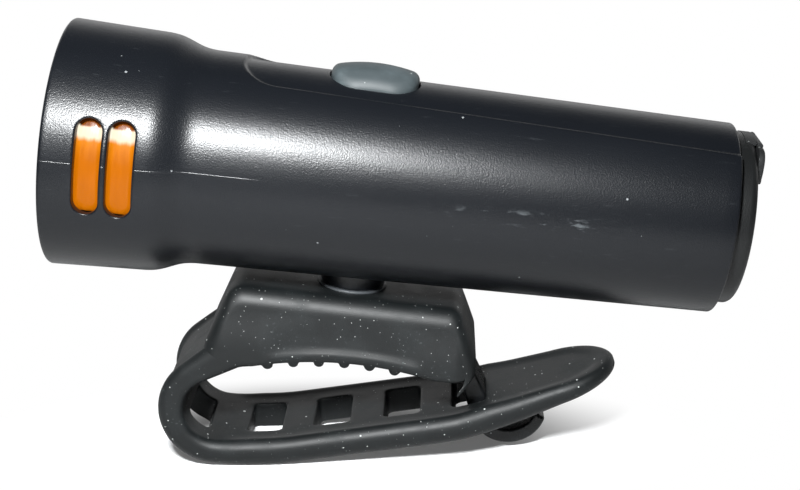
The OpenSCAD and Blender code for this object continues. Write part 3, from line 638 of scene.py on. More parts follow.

# %% [markdown]
# The silicone saddle and strap are one moulding. They are swept as one: at each station along it,
# a point on the outer face and a point on the inner face are joined by the same kind of section,
# with rolled edges, raised rims and a recessed web. A grid is laid over the stations and wrapped
# round the section, so neighbouring pieces meet exactly. The saddle stays with the mount; the
# loop rides on no body.

# %% Paths of the strap, in the XZ plane
def ahead(p, length, slope):
    """The point at a length and a direction, in degrees, from another."""
    return (p[0] + length * math.cos(math.radians(slope)),
            p[1] + length * math.sin(math.radians(slope)))


BEND_C, OUTER_R, BEND_T, STRAP_T = (-17.8, -4.1), 8.8, 3.8, 4.2
INNER_R = OUTER_R - BEND_T
SPLIT_OUT, BEND_FROM, BEND_TANGENT = (-20.6, 5.6), 120, 136
SEAT_C, SEAT_R, SEAT_FRONT, SEAT_BACK = (2, 5.8 - 55), 55, -15, 13.5
RUN_R, RUN_SLOPE, RUN_L, TAIL_R, TAIL_SLOPE = 50, 15, 20.3, 60, 14
THICK_L, THIN_L, TIP_L, TIP_T = 7, 19.3, 14.8, 2.1
ARC_A, ARC_B = RUN_R * math.radians(RUN_SLOPE), TAIL_R * math.radians(TAIL_SLOPE)
BAND_L = ARC_A + RUN_L + ARC_B + TIP_L


def seat_at(x):
    return SEAT_C[1] + math.sqrt(SEAT_R ** 2 - (x - SEAT_C[0]) ** 2)


def turn(p, radius, a0, a1):
    s0, s1 = math.radians(a0), math.radians(a1)
    return (p[0] + radius * (math.sin(s1) - math.sin(s0)),
            p[1] + radius * (math.cos(s0) - math.cos(s1)))


def band_at(u):
    """Underside of the band at a length u from the end of the bend, and its slope."""
    start = (BEND_C[0], BEND_C[1] - OUTER_R)
    if u < ARC_A:
        slope = math.degrees(u / RUN_R)
        return turn(start, RUN_R, 0, slope), slope
    first = turn(start, RUN_R, 0, RUN_SLOPE)
    if u < ARC_A + RUN_L:
        return ahead(first, u - ARC_A, RUN_SLOPE), RUN_SLOPE
    second = ahead(first, RUN_L, RUN_SLOPE)
    u -= ARC_A + RUN_L
    if u < ARC_B:
        slope = RUN_SLOPE + math.degrees(u / TAIL_R)
        return turn(second, TAIL_R, RUN_SLOPE, slope), slope
    third = turn(second, TAIL_R, RUN_SLOPE, RUN_SLOPE + TAIL_SLOPE)
    return ahead(third, u - ARC_B, RUN_SLOPE + TAIL_SLOPE), RUN_SLOPE + TAIL_SLOPE


def band_pair(u):
    """Outer and inner point of the band at u: the outer face is its underside."""
    low, slope = band_at(u)
    thin = max(0.0, (u - (BAND_L - THIN_L)) / THIN_L)
    thick = (BEND_T + (STRAP_T - BEND_T) * smooth_step(0, THICK_L, u)
             + (TIP_T - STRAP_T) * thin)
    return low, ahead(low, thick, slope + 90)


def mix(a, b, t):
    return (a[0] + (b[0] - a[0]) * t, a[1] + (b[1] - a[1]) * t)


def bend_pair(k):
    """Outer and inner point of the bend: k runs from 0 at the saddle through 1, where the
    circles start, to 2 at the band."""
    if k < 1:
        return (mix(SPLIT_OUT, ahead(BEND_C, OUTER_R, BEND_TANGENT), k),
                mix((SEAT_FRONT, seat_at(SEAT_FRONT)), ahead(BEND_C, INNER_R, BEND_FROM), k))
    t = k - 1
    return (ahead(BEND_C, OUTER_R, BEND_TANGENT + (270 - BEND_TANGENT) * t),
            ahead(BEND_C, INNER_R, BEND_FROM + (270 - BEND_FROM) * t))


print("band is %.1f mm long" % BAND_L)

# %% [markdown]
# The section is a list of fractions: columns across the outer face, rows down the side, and the
# same columns back across the inner face. Columns crowd near the edges, where the rim rolls over,
# and where the slots are cut.

# %% The section
EDGE_STEPS = (0.0, 0.06, 0.22, 0.5, 0.85, 1.2, 1.5, 1.75, 2.0, 2.3, 2.7)
HALF_NOMINAL, SLOT_REACH = 10.0, 4.9
middle_columns = ([-SLOT_REACH - 1.4, -SLOT_REACH - 0.7]
                  + [-SLOT_REACH + 2 * SLOT_REACH * k / 24 for k in range(25)] + [5.6, 6.3])
left_columns = [-(HALF_NOMINAL - e) for e in EDGE_STEPS]
COLUMN_SHARES = [c / HALF_NOMINAL for c in left_columns + middle_columns
                 + [-c for c in reversed(left_columns)]]
SIDE_SHARES = [0, 0.02, 0.06, 0.12, 0.2, 0.3, 0.4, 0.5, 0.6, 0.7, 0.8, 0.88, 0.94, 0.98, 1]


def roll(inset, radius):
    """How far a rolled edge of some radius has dropped at a distance inside the outline."""
    if inset >= radius:
        return 0.0
    return radius - math.sqrt(max(0.0, radius ** 2 - (radius - inset) ** 2))


def sweep(pairs, half_at, inset_at, outer_drop, inner_drop, side_pull, rolls):
    """Lays a grid over the stations and wraps it round the section of each."""
    wide, sides = len(COLUMN_SHARES), SIDE_SHARES[1:-1]
    ring = 2 * (wide + len(sides))
    bm = bmesh.new()
    bmesh.ops.create_grid(bm, x_segments=len(pairs) - 1, y_segments=ring, size=1)
    for v in bm.verts:
        i = round((v.co.x + 1) / 2 * (len(pairs) - 1))
        j = round((v.co.y + 1) / 2 * ring) % ring
        out, into = pairs[i]
        thick = math.dist(out, into)
        n = ((out[0] - into[0]) / thick, (out[1] - into[1]) / thick)
        roll_out, roll_in = rolls(i)
        top, low = thick - roll_out, roll_in

        def at(h):
            return (into[0] + n[0] * h, into[1] + n[1] * h)

        if j < wide or wide + len(sides) <= j < 2 * wide + len(sides):
            outer = j < wide
            share = COLUMN_SHARES[j] if outer else -COLUMN_SHARES[j - wide - len(sides)]
            half = half_at(i, at(top if outer else low))
            y = share * half
            inset = inset_at(i, y, half)
            if outer:
                h = thick - roll(inset, roll_out) - outer_drop(i, y, inset)
            else:
                h = roll(inset, roll_in) + inner_drop(i, y, inset)
        else:
            right = j < wide + len(sides)
            k = j - wide if right else j - 2 * wide - len(sides)
            share = sides[k] if right else 1 - sides[k]
            h = top + (low - top) * share
            y = half_at(i, at(h)) - side_pull(i, h, thick)
            y = y if right else -y
        p = at(h)
        v.co = on_bike(p[0], y, p[1])
    bmesh.ops.remove_doubles(bm, verts=bm.verts, dist=1e-7)
    return bm


def close_ends(bm):
    """Caps the two open ends of a sweep and turns all faces outwards."""
    bmesh.ops.holes_fill(bm, edges=[e for e in bm.edges if e.is_boundary], sides=0)
    bmesh.ops.recalc_face_normals(bm, faces=bm.faces)


# %% [markdown]
# The loop's stations lie closer together at the round tip of the tail. Its half width is even
# along the band, tapers behind the last slot and ends in a half circle.

# %% Stations of the loop
TIP_X = band_at(BAND_L)[0][0]
TAPER_X, TAIL_HALF, LOOP_HALF = 19, 8.0, 10.0
bend_steps = [k / 12 for k in range(12)] + [1 + k / 44 for k in range(44)]
loop_pairs = [bend_pair(k) for k in bend_steps]
BAND_START = len(loop_pairs)
band_steps = [0.4 * k for k in range(int((BAND_L - 5.6) / 0.4))]
tip_from = band_steps[-1]
band_steps += [tip_from + (BAND_L - 0.08 - tip_from) * math.sin(math.pi / 2 * k / 18)
               for k in range(1, 19)]
loop_pairs += [band_pair(u) for u in band_steps]


def loop_half(i, p):
    """Half width of the loop: even along the band, then tapering to a round tip."""
    x = loop_pairs[i][0][0]
    if i < BAND_START or x < TAPER_X:
        return LOOP_HALF
    round_x = TIP_X - TAIL_HALF
    if x < round_x:
        return LOOP_HALF + (TAIL_HALF - LOOP_HALF) * (x - TAPER_X) / (round_x - TAPER_X)
    return math.sqrt(max(0.01, TAIL_HALF ** 2 - (x - round_x) ** 2))


def loop_inset(i, y, half):
    x, round_x = loop_pairs[i][0][0], TIP_X - TAIL_HALF
    if i >= BAND_START and x > round_x:
        return max(0.0, TAIL_HALF - math.hypot(x - round_x, y))
    return half - abs(y)


WEB_DEPTH = 0.25


def rim_step(inset, rim, edge, depth):
    """A web let in by some depth, inside a rim."""
    return depth * smooth_step(rim - edge / 2, rim + edge / 2, inset)


def loop_outer_drop(i, y, inset):
    """The bend's outer face is hollow between its rims; the band's underside is plain."""
    fade = 1 - smooth_step(BAND_START - 14, BAND_START + 6, i)
    return rim_step(inset, 2.0, 1.6, 0.7) * fade


def loop_inner_drop(i, y, inset):
    """The band's inner face has a shallow web between two soft rims."""
    grow = smooth_step(BAND_START + 2, BAND_START + 12, i)
    return rim_step(inset, 2.3, 1.6, WEB_DEPTH) * grow


def loop_rolls(i):
    out, into = loop_pairs[i]
    thick = math.dist(out, into)
    round_over = smooth_step(BAND_START - 20, BAND_START + 8, i)
    return thick * (0.4 + 0.1 * round_over), thick * (0.27 + 0.15 * round_over)


loop = sweep(loop_pairs, loop_half, loop_inset, loop_outer_drop, loop_inner_drop,
             lambda i, h, thick: 0.0, loop_rolls)
print("loop:", len(loop.verts), "points")

# %% [markdown]
# Four slots run down the band and one sits in the bend. Each is cut square to the strap, with
# rolled rims on both faces. On the bend the slot's middle is at 232 degrees round its centre.

# %% Ladder slots
LADDER_L, LADDER_W, LADDER_U, LADDER_PITCH, BEND_SLOT = 9.8, 5.6, 7.7, 10.7, 232


def cut_slot_in_band(u0):
    def flat(co):
        p, slope = band_at(u0)
        dx, dz = co.x / MM - p[0], co.z / MM - p[1]
        a = math.radians(slope)
        return dx * math.cos(a) + dz * math.sin(a), co.y / MM

    def skin(outer):
        def place(p, q, depth):
            out, into = band_pair(u0 + p)
            thick = math.dist(out, into)
            h = depth if outer else thick - WEB_DEPTH - depth
            n = ((into[0] - out[0]) / thick, (into[1] - out[1]) / thick)
            return on_bike(out[0] + n[0] * h, q, out[1] + n[1] * h)
        return place

    cut_strap(flat, [skin(True), skin(False)], band_at(u0)[0])


def cut_slot_in_bend(angle):
    def flat(co):
        a = math.atan2(co.z / MM - BEND_C[1], co.x / MM - BEND_C[0])
        turn_by = (math.degrees(a) - angle + 180) % 360 - 180
        return math.radians(turn_by) * (INNER_R + BEND_T / 2), co.y / MM

    def skin(outer):
        def place(p, q, depth):
            a = angle + math.degrees(p / (INNER_R + BEND_T / 2))
            r = OUTER_R - depth if outer else INNER_R + depth
            x, z = ahead(BEND_C, r, a)
            return on_bike(x, q, z)
        return place

    cut_strap(flat, [skin(True), skin(False)], ahead(BEND_C, INNER_R + BEND_T / 2, angle))


def cut_strap(flat, skins, middle):
    size = (LADDER_W / 2, LADDER_L / 2, 0.9)
    doomed = set()
    for f in loop.faces:
        co = f.calc_center_median()
        if math.dist((co.x / MM, co.z / MM), middle) < 5.5:
            p, q = (abs(c) for c in flat(co))
            if p < LADDER_W / 2 + 0.22 and q < LADDER_L / 2 + 0.2:
                doomed.add(f)
    open_hole(loop, size, flat, doomed, skins, lip=0.35)


for k in range(4):
    cut_slot_in_band(LADDER_U + k * LADDER_PITCH)
cut_slot_in_bend(BEND_SLOT)
close_ends(loop)
strap = finish_piece("strap_loop", loop, None, "strap_rubber", ["strap_bend", "strap_band"])
HINGE, ACROSS, BEFORE, BEYOND = Vector((-24.1, -6.8)), Vector((0.39, -0.92)), 5.0, 4.4
start, end = HINGE - ACROSS * BEFORE, HINGE + ACROSS * BEYOND
on_bike(start.x, 0, start.y)
on_bike(end.x, 0, end.y)
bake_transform(strap)

# %% [markdown]
# The saddle is swept the same way. Its outer path climbs the front face, runs along the flat top
# and comes down the rear face; its inner path follows the arched seat, with six grip ribs. The
# sides lean in above a full-width base, and a fine step runs along above the seat's edge.

# %% Stations of the saddle
def measured(points):
    lengths = [0.0]
    for a, b in zip(points, points[1:]):
        lengths.append(lengths[-1] + math.dist(a, b))
    return lengths


def walk(points, lengths, d):
    return (float(np.interp(d, lengths, [p[0] for p in points])),
            float(np.interp(d, lengths, [p[1] for p in points])))


SADDLE_TOP, SADDLE_HALF, REAR_X, REAR_CORNER = 15.22, 10.0, 19.75, 3.6
saddle_outer = rounded_path([SPLIT_OUT, (-20.45, 6.3, 0.5), (-17.45, SADDLE_TOP, 3.0),
                             (16.2, SADDLE_TOP, 2.2), (19.4, 8.5, 3), (REAR_X, 6.0, 1.2),
                             (19.1, 4.86)], False, 10)
saddle_inner = ([(x, seat_at(x)) for x in np.linspace(SEAT_FRONT, SEAT_BACK, 240)]
                + [(16.5, 4.62), (19.05, 4.8)])
outer_lengths, inner_lengths = measured(saddle_outer), measured(saddle_inner)
top_start = outer_lengths[min(range(len(saddle_outer)),
                              key=lambda k: abs(saddle_outer[k][0] + 14.6)
                              + abs(saddle_outer[k][1] - 15.2))]
top_end = outer_lengths[-1] - 11.2
knots = [0, 0.2, 0.8, 1]
outer_knots = [0, top_start, top_end, outer_lengths[-1]]
inner_knots = [0, 2.6, inner_lengths[-1] - 5.0, inner_lengths[-1]]
places = ([0.2 * k / 50 for k in range(50)] + [0.2 + 0.6 * k / 150 for k in range(150)]
          + [0.8 + 0.2 * k / 60 for k in range(61)])
saddle_pairs = [(walk(saddle_outer, outer_lengths, np.interp(t, knots, outer_knots)),
                 walk(saddle_inner, inner_lengths, np.interp(t, knots, inner_knots)))
                for t in places]

RIB_X, RIB_R = [-1.6 + (k - 2.5) * 3.72 for k in range(6)], 0.8


def saddle_half(i, p):
    x, z = p
    lean = 1.0 * smooth_step(6.2, 13.4, z) + 0.25 * smooth_step(12.6, 15.4, z)
    half = SADDLE_HALF - lean
    past = x - (REAR_X - REAR_CORNER)
    if past > 0:
        half -= REAR_CORNER - math.sqrt(max(0.05, REAR_CORNER ** 2 - past ** 2))
    return half


def saddle_inner_drop(i, y, inset):
    x = saddle_pairs[i][1][0]
    near = min(abs(x - c) for c in RIB_X)
    if near >= RIB_R:
        return 0.0
    return -math.sqrt(RIB_R ** 2 - near ** 2) * smooth_step(0.2, 0.9, inset)


def saddle_side_pull(i, h, thick):
    """The fine step above the seat's edge, which fades out towards both ends."""
    x = saddle_pairs[i][1][0]
    fade = smooth_step(-12.2, -8, x) * (1 - smooth_step(9, 12.5, x))
    return 0.35 * smooth_step(1.5, 1.9, h) * (1 - smooth_step(2.4, 6.5, h)) * fade


def saddle_rolls(i):
    thick = math.dist(*saddle_pairs[0])
    into = smooth_step(0, 45, i)
    return (0.4 * thick + (2.8 - 0.4 * thick) * into, 0.27 * thick + (0.9 - 0.27 * thick) * into)


saddle = sweep(saddle_pairs, saddle_half, lambda i, y, half: half - abs(y),
               lambda i, y, inset: 0.0, saddle_inner_drop, saddle_side_pull,
               saddle_rolls)
close_ends(saddle)
finish_piece("saddle_block", saddle, "mount", "strap_rubber", ["saddle"])

# %% [markdown]
# The rear cap is turned, with a rounded rim. The opening for the charging plug and the seat of
# the cover's anchor run out through that rim, so they are cut with a boolean, which keeps the
# rounding on both sides. The cut mesh takes the place of the turned one, and the cutter goes.

# %% Plates and cutters
CAP_FRONT, CAP_BACK, CAP_R, PORT_Z, ANCHOR_Z = 93.4, 99.3, 12.65, 9.8, 11.85


def slab(bm, path, place, push, soft=0.0, both=False):
    """A flat outline is made a face and pushed out into a solid with softened edges."""
    face = bm.faces.new([bm.verts.new(place(*point)) for point in path])
    made = bmesh.ops.extrude_face_region(bm, geom=[face])["geom"]
    bmesh.ops.translate(bm, verts=only(made, VERT), vec=push)
    if soft:
        soften(bm, only(made, FACE) + ([face] if both else []), soft * MM, 4)
    bmesh.ops.recalc_face_normals(bm, faces=bm.faces)


def box_path(y, low, high, corner):
    return rounded_path([(-y, low, corner), (y, low, corner), (y, high, corner),
                         (-y, high, corner)], True, 6)


def cut_away(piece, tool):
    """Cuts the tool's shape out of a piece and keeps only the result."""
    cutter = mesh_object("cutter", tool)
    cut = piece.modifiers.new("cut", "BOOLEAN")
    cut.object = cutter
    graph = bpy.context.evaluated_depsgraph_get()
    result = bpy.data.meshes.new_from_object(piece.evaluated_get(graph))
    piece.modifiers.clear()
    piece.data = result
    bpy.data.objects.remove(cutter)
    smooth(result, 35)
    print("%-16s %6d faces once cut" % (piece.name, len(result.polygons)))


# %% [markdown]
# The cover's anchor is a small rubber wedge, flat below and round above like the cap's rim, and
# it fills the seat that is cut for it.

# %% Rear cap and the cover's anchor
cap = turned([(96.6, 11.3), (96.6, 0)] + [(CAP_BACK, 0), (CAP_BACK, CAP_R, 1.1), (96.5, CAP_R),
              (96.5, 12.8), (CAP_FRONT + 2, 12.8), (CAP_FRONT + 2, 12.0), (CAP_FRONT + 1, 12.0),
              (CAP_FRONT + 1, 12.8), (CAP_FRONT, 12.8), (CAP_FRONT, 11.3)], steps=8)
cap_piece = finish_piece("cap_turned", cap, "lamp", "cap_plastic", ["rear_cap"], sharp=35)
port = bmesh.new()
slab(port, box_path(4.6, PORT_Z - 1.8, PORT_Z + 1.8, 1.2), lambda y, z: on_lamp(92, y, z),
     (12 * MM, 0, 0))
cut_away(cap_piece, port)
seat = bmesh.new()
slab(seat, box_path(3.5, ANCHOR_Z, ANCHOR_Z + 4, 0.1), lambda y, z: on_lamp(CAP_BACK - 1.6, y, z),
     (4 * MM, 0, 0))
cut_away(cap_piece, seat)

anchor = bmesh.new()
crown = [(12.7 * math.sin(a), 12.7 * math.cos(a)) for a in np.radians(np.linspace(15.7, -15.7, 13))]
slab(anchor, [(-3.44, 11.9), (3.44, 11.9)] + crown, lambda y, z: on_lamp(CAP_BACK - 1.55, y, z),
     (1.6 * MM, 0, 0), soft=0.15)
finish_piece("cover_root", anchor, "lamp", "cover_rubber", ["cover_anchor"])

# %% [markdown]
# The port cover is one rubber moulding: a rounded plate with a pull lip along its free edge, a
# plug that sits in the opening, and a thin roll along its top that is the living hinge.

# %% Port cover
cover = bmesh.new()
COVER_Y, COVER_LOW, HINGE_R = 6.5, PORT_Z - 3.3, 0.45
slab(cover, box_path(4.3, PORT_Z - 1.3, PORT_Z + 1.3, 0.9),
     lambda y, z: on_lamp(CAP_BACK + 0.2, y, z), (-1.5 * MM, 0, 0), soft=0.3)
slab(cover, box_path(COVER_Y, COVER_LOW, ANCHOR_Z - 0.02, 2.2),
     lambda y, z: on_lamp(CAP_BACK + 0.1, y, z), (0.9 * MM, 0, 0), soft=0.35)
slab(cover, box_path(COVER_Y - 1.6, COVER_LOW + 0.05, COVER_LOW + 1.25, 0.5),
     lambda y, z: on_lamp(CAP_BACK + 0.8, y, z), (0.5 * MM, 0, 0), soft=0.2)
roll_turn = Matrix.Rotation(math.pi / 2, 4, "X")
roll_turn.translation = on_lamp(CAP_BACK + 0.1 + HINGE_R, 0, ANCHOR_Z)
bmesh.ops.create_cone(cover, cap_ends=True, segments=32, radius1=HINGE_R * MM,
                      radius2=HINGE_R * MM, depth=6.6 * MM, matrix=roll_turn)
finish_piece("port_flap_cover", cover, "port_flap", "cover_rubber", ["port_cover"])

# %% [markdown]
# The button is a soft crowned pad. Its outline is a rounded rectangle. Rings of that outline run
# from a flange inside the housing up the wall, and then shrink towards the middle while their
# height follows an arch along the lamp and a crown with a soft crease across it.

# %% Button
BUTTON_TOP, BUTTON_CORNER, ARCH_R, CREASE_Y = 16.62, 4.0, 22.0, 2.5


def button_height(p, q):
    over = abs(q) - CREASE_Y
    crease = 0.4 * (over + math.sqrt(over ** 2 + 0.3 ** 2)) / 2
    inset = inside_by(p, q, BUTTON_L / 2, BUTTON_W / 2, BUTTON_CORNER)
    return (BUTTON_TOP + 0.03 - p ** 2 / (2 * ARCH_R) - 0.055 * q ** 2 - crease
            - roll(max(0.0, inset), 0.9))


shrink = [1 - 0.5 * (k / 14) ** 2 for k in range(15)] + [0.5 - 0.5 * k / 8 for k in range(1, 9)]
button_rows = ([(0.0, 0.0, 10.9), (1.0, 0.6, 10.9), (1.0, 0.6, 11.6), (1.0, 0.0, 11.6)]
               + [(t, 0.0, None) for t in shrink])
AROUND = 160
button = bmesh.new()
bmesh.ops.create_grid(button, x_segments=AROUND, y_segments=len(button_rows) - 1, size=1)
rings = {grow: outline(BUTTON_L / 2, BUTTON_W / 2, BUTTON_CORNER, grow) for grow in (0.0, 0.6)}
for v in button.verts:
    i = round((v.co.x + 1) / 2 * AROUND) % AROUND
    share, grow, z = button_rows[round((v.co.y + 1) / 2 * (len(button_rows) - 1))]
    p, q = rings[grow][round(i * OUTLINE_POINTS / AROUND) % OUTLINE_POINTS] * share
    v.co = on_lamp(BUTTON_S + p, q, button_height(p, q) if z is None else z)
bmesh.ops.remove_doubles(button, verts=button.verts, dist=1e-7)
bmesh.ops.recalc_face_normals(button, faces=button.faces)
finish_piece("button_pad", button, "button", "button_rubber", ["switch_button"], sharp=60)

# %% [markdown]
# The hook is a flat plastic part, drawn as a side profile and pushed out to its width: a stem
# that comes down out of the saddle, goes through the last slot, and turns up into a round lip.

# %% Hook
HOOK_HALF, HOOK_FOOT_X, HOOK_ROOT_Z, STEM_T = 4.0, 18.1, 8.6, 3.0
HOOK_U = LADDER_U + 3 * LADDER_PITCH
slot_point, slot_slope = band_at(HOOK_U)


def in_slot(du, h):
    return ahead(ahead(slot_point, du, slot_slope), h, slot_slope + 90)


def arc(centre, radius, start, end, steps):
    return [ahead(centre, radius, start + (end - start) * k / steps) for k in range(steps + 1)]


LIP_IN, LIP_OUT = (3.97, 4.3, 232, 346, 18), (3.27, 5.8, 350, 215, 24)
lip = (slot_point[0] + LADDER_W / 2 + 1.9, slot_point[1])
rear_wall = LADDER_W / 2 - 0.1
inner_lip = arc((lip[0], lip[1] + LIP_IN[0]), *LIP_IN[1:])
outer_lip = arc((lip[0], lip[1] + LIP_OUT[0]), *LIP_OUT[1:])
inner_lip[-1] += (0.3,)
outer_lip[0] += (0.4,)
hook_path = rounded_path([(HOOK_FOOT_X - 1.8, HOOK_ROOT_Z), (HOOK_FOOT_X, HOOK_ROOT_Z),
                          (HOOK_FOOT_X + 0.5, 6.4, 1.0), in_slot(rear_wall, STRAP_T + 0.3) + (1.0,),
                          in_slot(rear_wall, 0.2)] + inner_lip + outer_lip
                         + [in_slot(rear_wall - STEM_T, 0), in_slot(rear_wall - STEM_T, STRAP_T)
                            + (0.6,), (HOOK_FOOT_X - 1.8, 6.2, 0.6)], True, 3)
hook = bmesh.new()
slab(hook, hook_path, lambda x, z: on_bike(x, -HOOK_HALF, z), (0, 2 * HOOK_HALF * MM, 0),
     soft=0.45, both=True)
slab(hook, box_path(HOOK_HALF, HOOK_ROOT_Z, HOOK_ROOT_Z + 1.2, 0.2),
     lambda y, z: on_bike(11, y, z), ((HOOK_FOOT_X - 11.2) * MM, 0, 0), soft=0.1)
finish_piece("hook", hook, "mount", "hook_plastic", ["strap_hook"])

# %% [markdown]
# Materials come next. Shader maths reads best as plain sums, so a small class wraps a socket and
# turns + - * / into Math nodes. A second one adds nodes to a tree, for the world as for a
# material, and a third holds a finish while it is being made. Patterns are laid in Object
# coordinates, which are the piece's own metres, so a speck keeps its real size.

# %% Sums on sockets
class Value:
    """A number on a socket. Sums with it add Math nodes."""

    def __init__(self, tree, socket):
        self.tree, self.socket = tree, socket

    def math(self, operation, *terms):
        node = self.tree.nodes.new("ShaderNodeMath")
        node.operation = operation
        for socket, term in zip(node.inputs, terms):
            if isinstance(term, Value):
                self.tree.links.new(term.socket, socket)
            else:
                socket.default_value = term
        return Value(self.tree, node.outputs[0])

    def __add__(self, other):
        return self.math("ADD", self, other)

    __radd__ = __add__

    def __sub__(self, other):
        return self.math("SUBTRACT", self, other)

    def __rsub__(self, other):
        return self.math("SUBTRACT", other, self)

    def __mul__(self, other):
        return self.math("MULTIPLY", self, other)

    __rmul__ = __mul__

    def __truediv__(self, other):
        return self.math("DIVIDE", self, other)

    def __abs__(self):
        return self.math("ABSOLUTE", self)

    def at_least(self, other):
        return self.math("MAXIMUM", self, other)

    def at_most(self, other):
        return self.math("MINIMUM", self, other)


# %% Nodes and finishes
class Nodes:
    """The nodes of one tree and its shader. Its methods add nodes and give back Values."""

    def __init__(self, tree, shader):
        self.tree, self.shader = tree, tree.nodes[shader]

    def set(self, sockets, node=None):
        node = node or self.shader
        for name, value in sockets.items():
            if isinstance(value, Value):
                self.tree.links.new(value.socket, node.inputs[name])
            elif isinstance(value, tuple) and len(value) == 3 and node.inputs[name].type == "RGBA":
                node.inputs[name].default_value = (*value, 1)
            else:
                node.inputs[name].default_value = value

    def add(self, kind, settings=None, sockets=None, out=0):
        """Adds a node. out names the output that is wanted, or several as a tuple."""
        node = self.tree.nodes.new(kind)
        for name, value in (settings or {}).items():
            setattr(node, name, value)
        self.set(sockets or {}, node)
        if isinstance(out, tuple):
            return [Value(self.tree, node.outputs[name]) for name in out]
        return Value(self.tree, node.outputs[out])

    def remap(self, value, low, high, to_low=0.0, to_high=1.0):
        return self.add("ShaderNodeMapRange", {"interpolation_type": "SMOOTHSTEP"},
                        {"Value": value, "From Min": low, "From Max": high,
                         "To Min": to_low, "To Max": to_high})

    def axes(self, vector):
        return self.add("ShaderNodeSeparateXYZ", None, {0: vector}, (0, 1, 2))

    def rays(self):
        """1 where a ray comes from the camera, straight or through glass, and 1 where it is
        a reflection."""
        straight, through, glossy = self.add("ShaderNodeLightPath", out=(
            "Is Camera Ray", "Is Transmission Ray", "Is Glossy Ray"))
        return straight.at_least(through), glossy


finishes = {}


class Finish(Nodes):
    """One material slot's finish."""

    def __init__(self, slot, colour, roughness, **constants):
        self.material = bpy.data.materials.new(slot)
        self.material.use_nodes = True
        super().__init__(self.material.node_tree, "Principled BSDF")
        self.set({"Base Color": colour, "Roughness": roughness})
        self.set({name.replace("_", " "): value for name, value in constants.items()})
        self.place = self.add("ShaderNodeTexCoord", out="Object")
        self.bumps = None
        finishes[slot] = self.material

    def stretched(self, scale, turn=(0, 0, 0)):
        return self.add("ShaderNodeMapping", None,
                        {"Vector": self.place, "Scale": scale, "Rotation": turn})

    def noise(self, size, detail=3.0, where=None, roughness=0.5):
        """Noise whose features are about size millimetres across."""
        return self.add("ShaderNodeTexNoise", None,
                        {"Vector": where or self.place, "Scale": 1 / (size * MM),
                         "Detail": detail, "Roughness": roughness})

    def mix(self, share, first, second):
        """Two colours mixed by a share."""
        return self.add("ShaderNodeMix", {"data_type": "RGBA"}, {0: share, 6: first, 7: second},
                        out=2)

    def around(self, share, colour, low, high):
        """A colour that varies between a darker and a paler tone of itself."""
        return self.mix(share, *(tuple(min(1.0, c * tone) for c in colour)
                                 for tone in (low, high)))

    def specks(self, cell, radius, chance):
        """Sparse round specks: one in each cell of some cells, as 1 on the speck and 0 off it."""
        distance, colour = self.add("ShaderNodeTexVoronoi", None,
                                    {"Vector": self.place, "Scale": 1 / (cell * MM)},
                                    ("Distance", "Color"))
        pick, grow = self.add("ShaderNodeSeparateColor", None, {0: colour}, (0, 1))
        size = radius / cell * (0.5 + grow)
        return pick.math("LESS_THAN", pick, chance) * self.remap(distance / size, 1.0, 0.6)

    def bump(self, height, depth):
        """A height, in millimetres of depth, laid over the bumps made before."""
        sockets = {"Height": height, "Distance": depth * MM}
        if self.bumps:
            sockets["Normal"] = self.bumps
        self.bumps = self.add("ShaderNodeBump", None, sockets)
        self.set({"Normal": self.bumps})


# %% [markdown]
# The housing is black moulded plastic with a spark-eroded grain, so its highlight breaks into
# fine bright dots. Handling has left faint smears, a scuffed patch along the near side, hair
# scratches along the tube and a little dust. A fine parting line runs along the head. The rear
# cap, bezel and hook are moulded of the same kind of plastic.

# %% Black plastics
SCUFF_X, SCUFF_Z, PARTING_Z = 24.0, 32.5, 33.85
PALE_SCUFF, PALE_DUST = (0.30, 0.33, 0.35), (0.34, 0.36, 0.37)


def scuffed_plastic(slot, colour, roughness):
    fin = Finish(slot, colour, roughness, Specular_IOR_Level=0.34)
    x, y, z = fin.axes(fin.place)
    grain = fin.noise(0.19, 2.0)
    smear = fin.noise(14, 3.0, fin.stretched((0.35, 1, 1)))
    hair = fin.noise(0.35, 4.0, fin.stretched((0.03, 1, 1)), 0.7)
    dust = fin.specks(2.6, 0.16, 0.16).at_least(fin.specks(1.4, 0.07, 0.12))
    scratch = fin.remap(fin.noise(0.5, 5.0, fin.stretched((0.12, 1, 1), (0.1, 0, 0.15)), 0.65),
                        0.62, 0.72)
    patch = (fin.remap(abs(x - SCUFF_X * MM), 15 * MM, 3 * MM)
             * fin.remap(abs(z - SCUFF_Z * MM), 1.5 * MM, 0.2 * MM)
             * fin.remap(y, 0, -2 * MM))
    parting = (fin.remap(abs(z - PARTING_Z * MM), 0.13 * MM, 0.04 * MM)
               * fin.remap(x, -12 * MM, -18 * MM))
    scuff = patch * fin.remap(fin.noise(1.1, 5.0, fin.stretched((0.3, 1, 1)), 0.6), 0.52, 0.66)
    worn = (scuff + scratch * 0.10).at_most(1.0)
    shade = fin.mix(worn * 0.22, fin.around(smear, colour, 0.8, 1.25), PALE_SCUFF)
    fin.set({"Base Color": fin.mix(dust * 0.5, shade, PALE_DUST),
             "Roughness": (roughness - 0.05 + smear * 0.09 + grain * 0.04 + worn * 0.15
                           + dust * 0.3)})
    for height, depth in ((grain, 0.03), (hair, 0.006), (dust, 0.03), (parting, 0.03)):
        fin.bump(height, depth)


scuffed_plastic("housing", (0.0040, 0.0048, 0.0064), 0.30)
scuffed_plastic("cap_plastic", (0.0065, 0.007, 0.0072), 0.36)
scuffed_plastic("bezel", (0.006, 0.0065, 0.0072), 0.28)
scuffed_plastic("hook_plastic", (0.005, 0.0055, 0.006), 0.26)
print("plastics:", sorted(finishes))

# %% [markdown]
# Silicone rubber drinks light: it is matte and very dark, and it holds dust. The dust lies as a
# pale film in broad patches and as many fine white specks of three sizes. The grey button and
# the port cover are the same kind of rubber, less dusty.

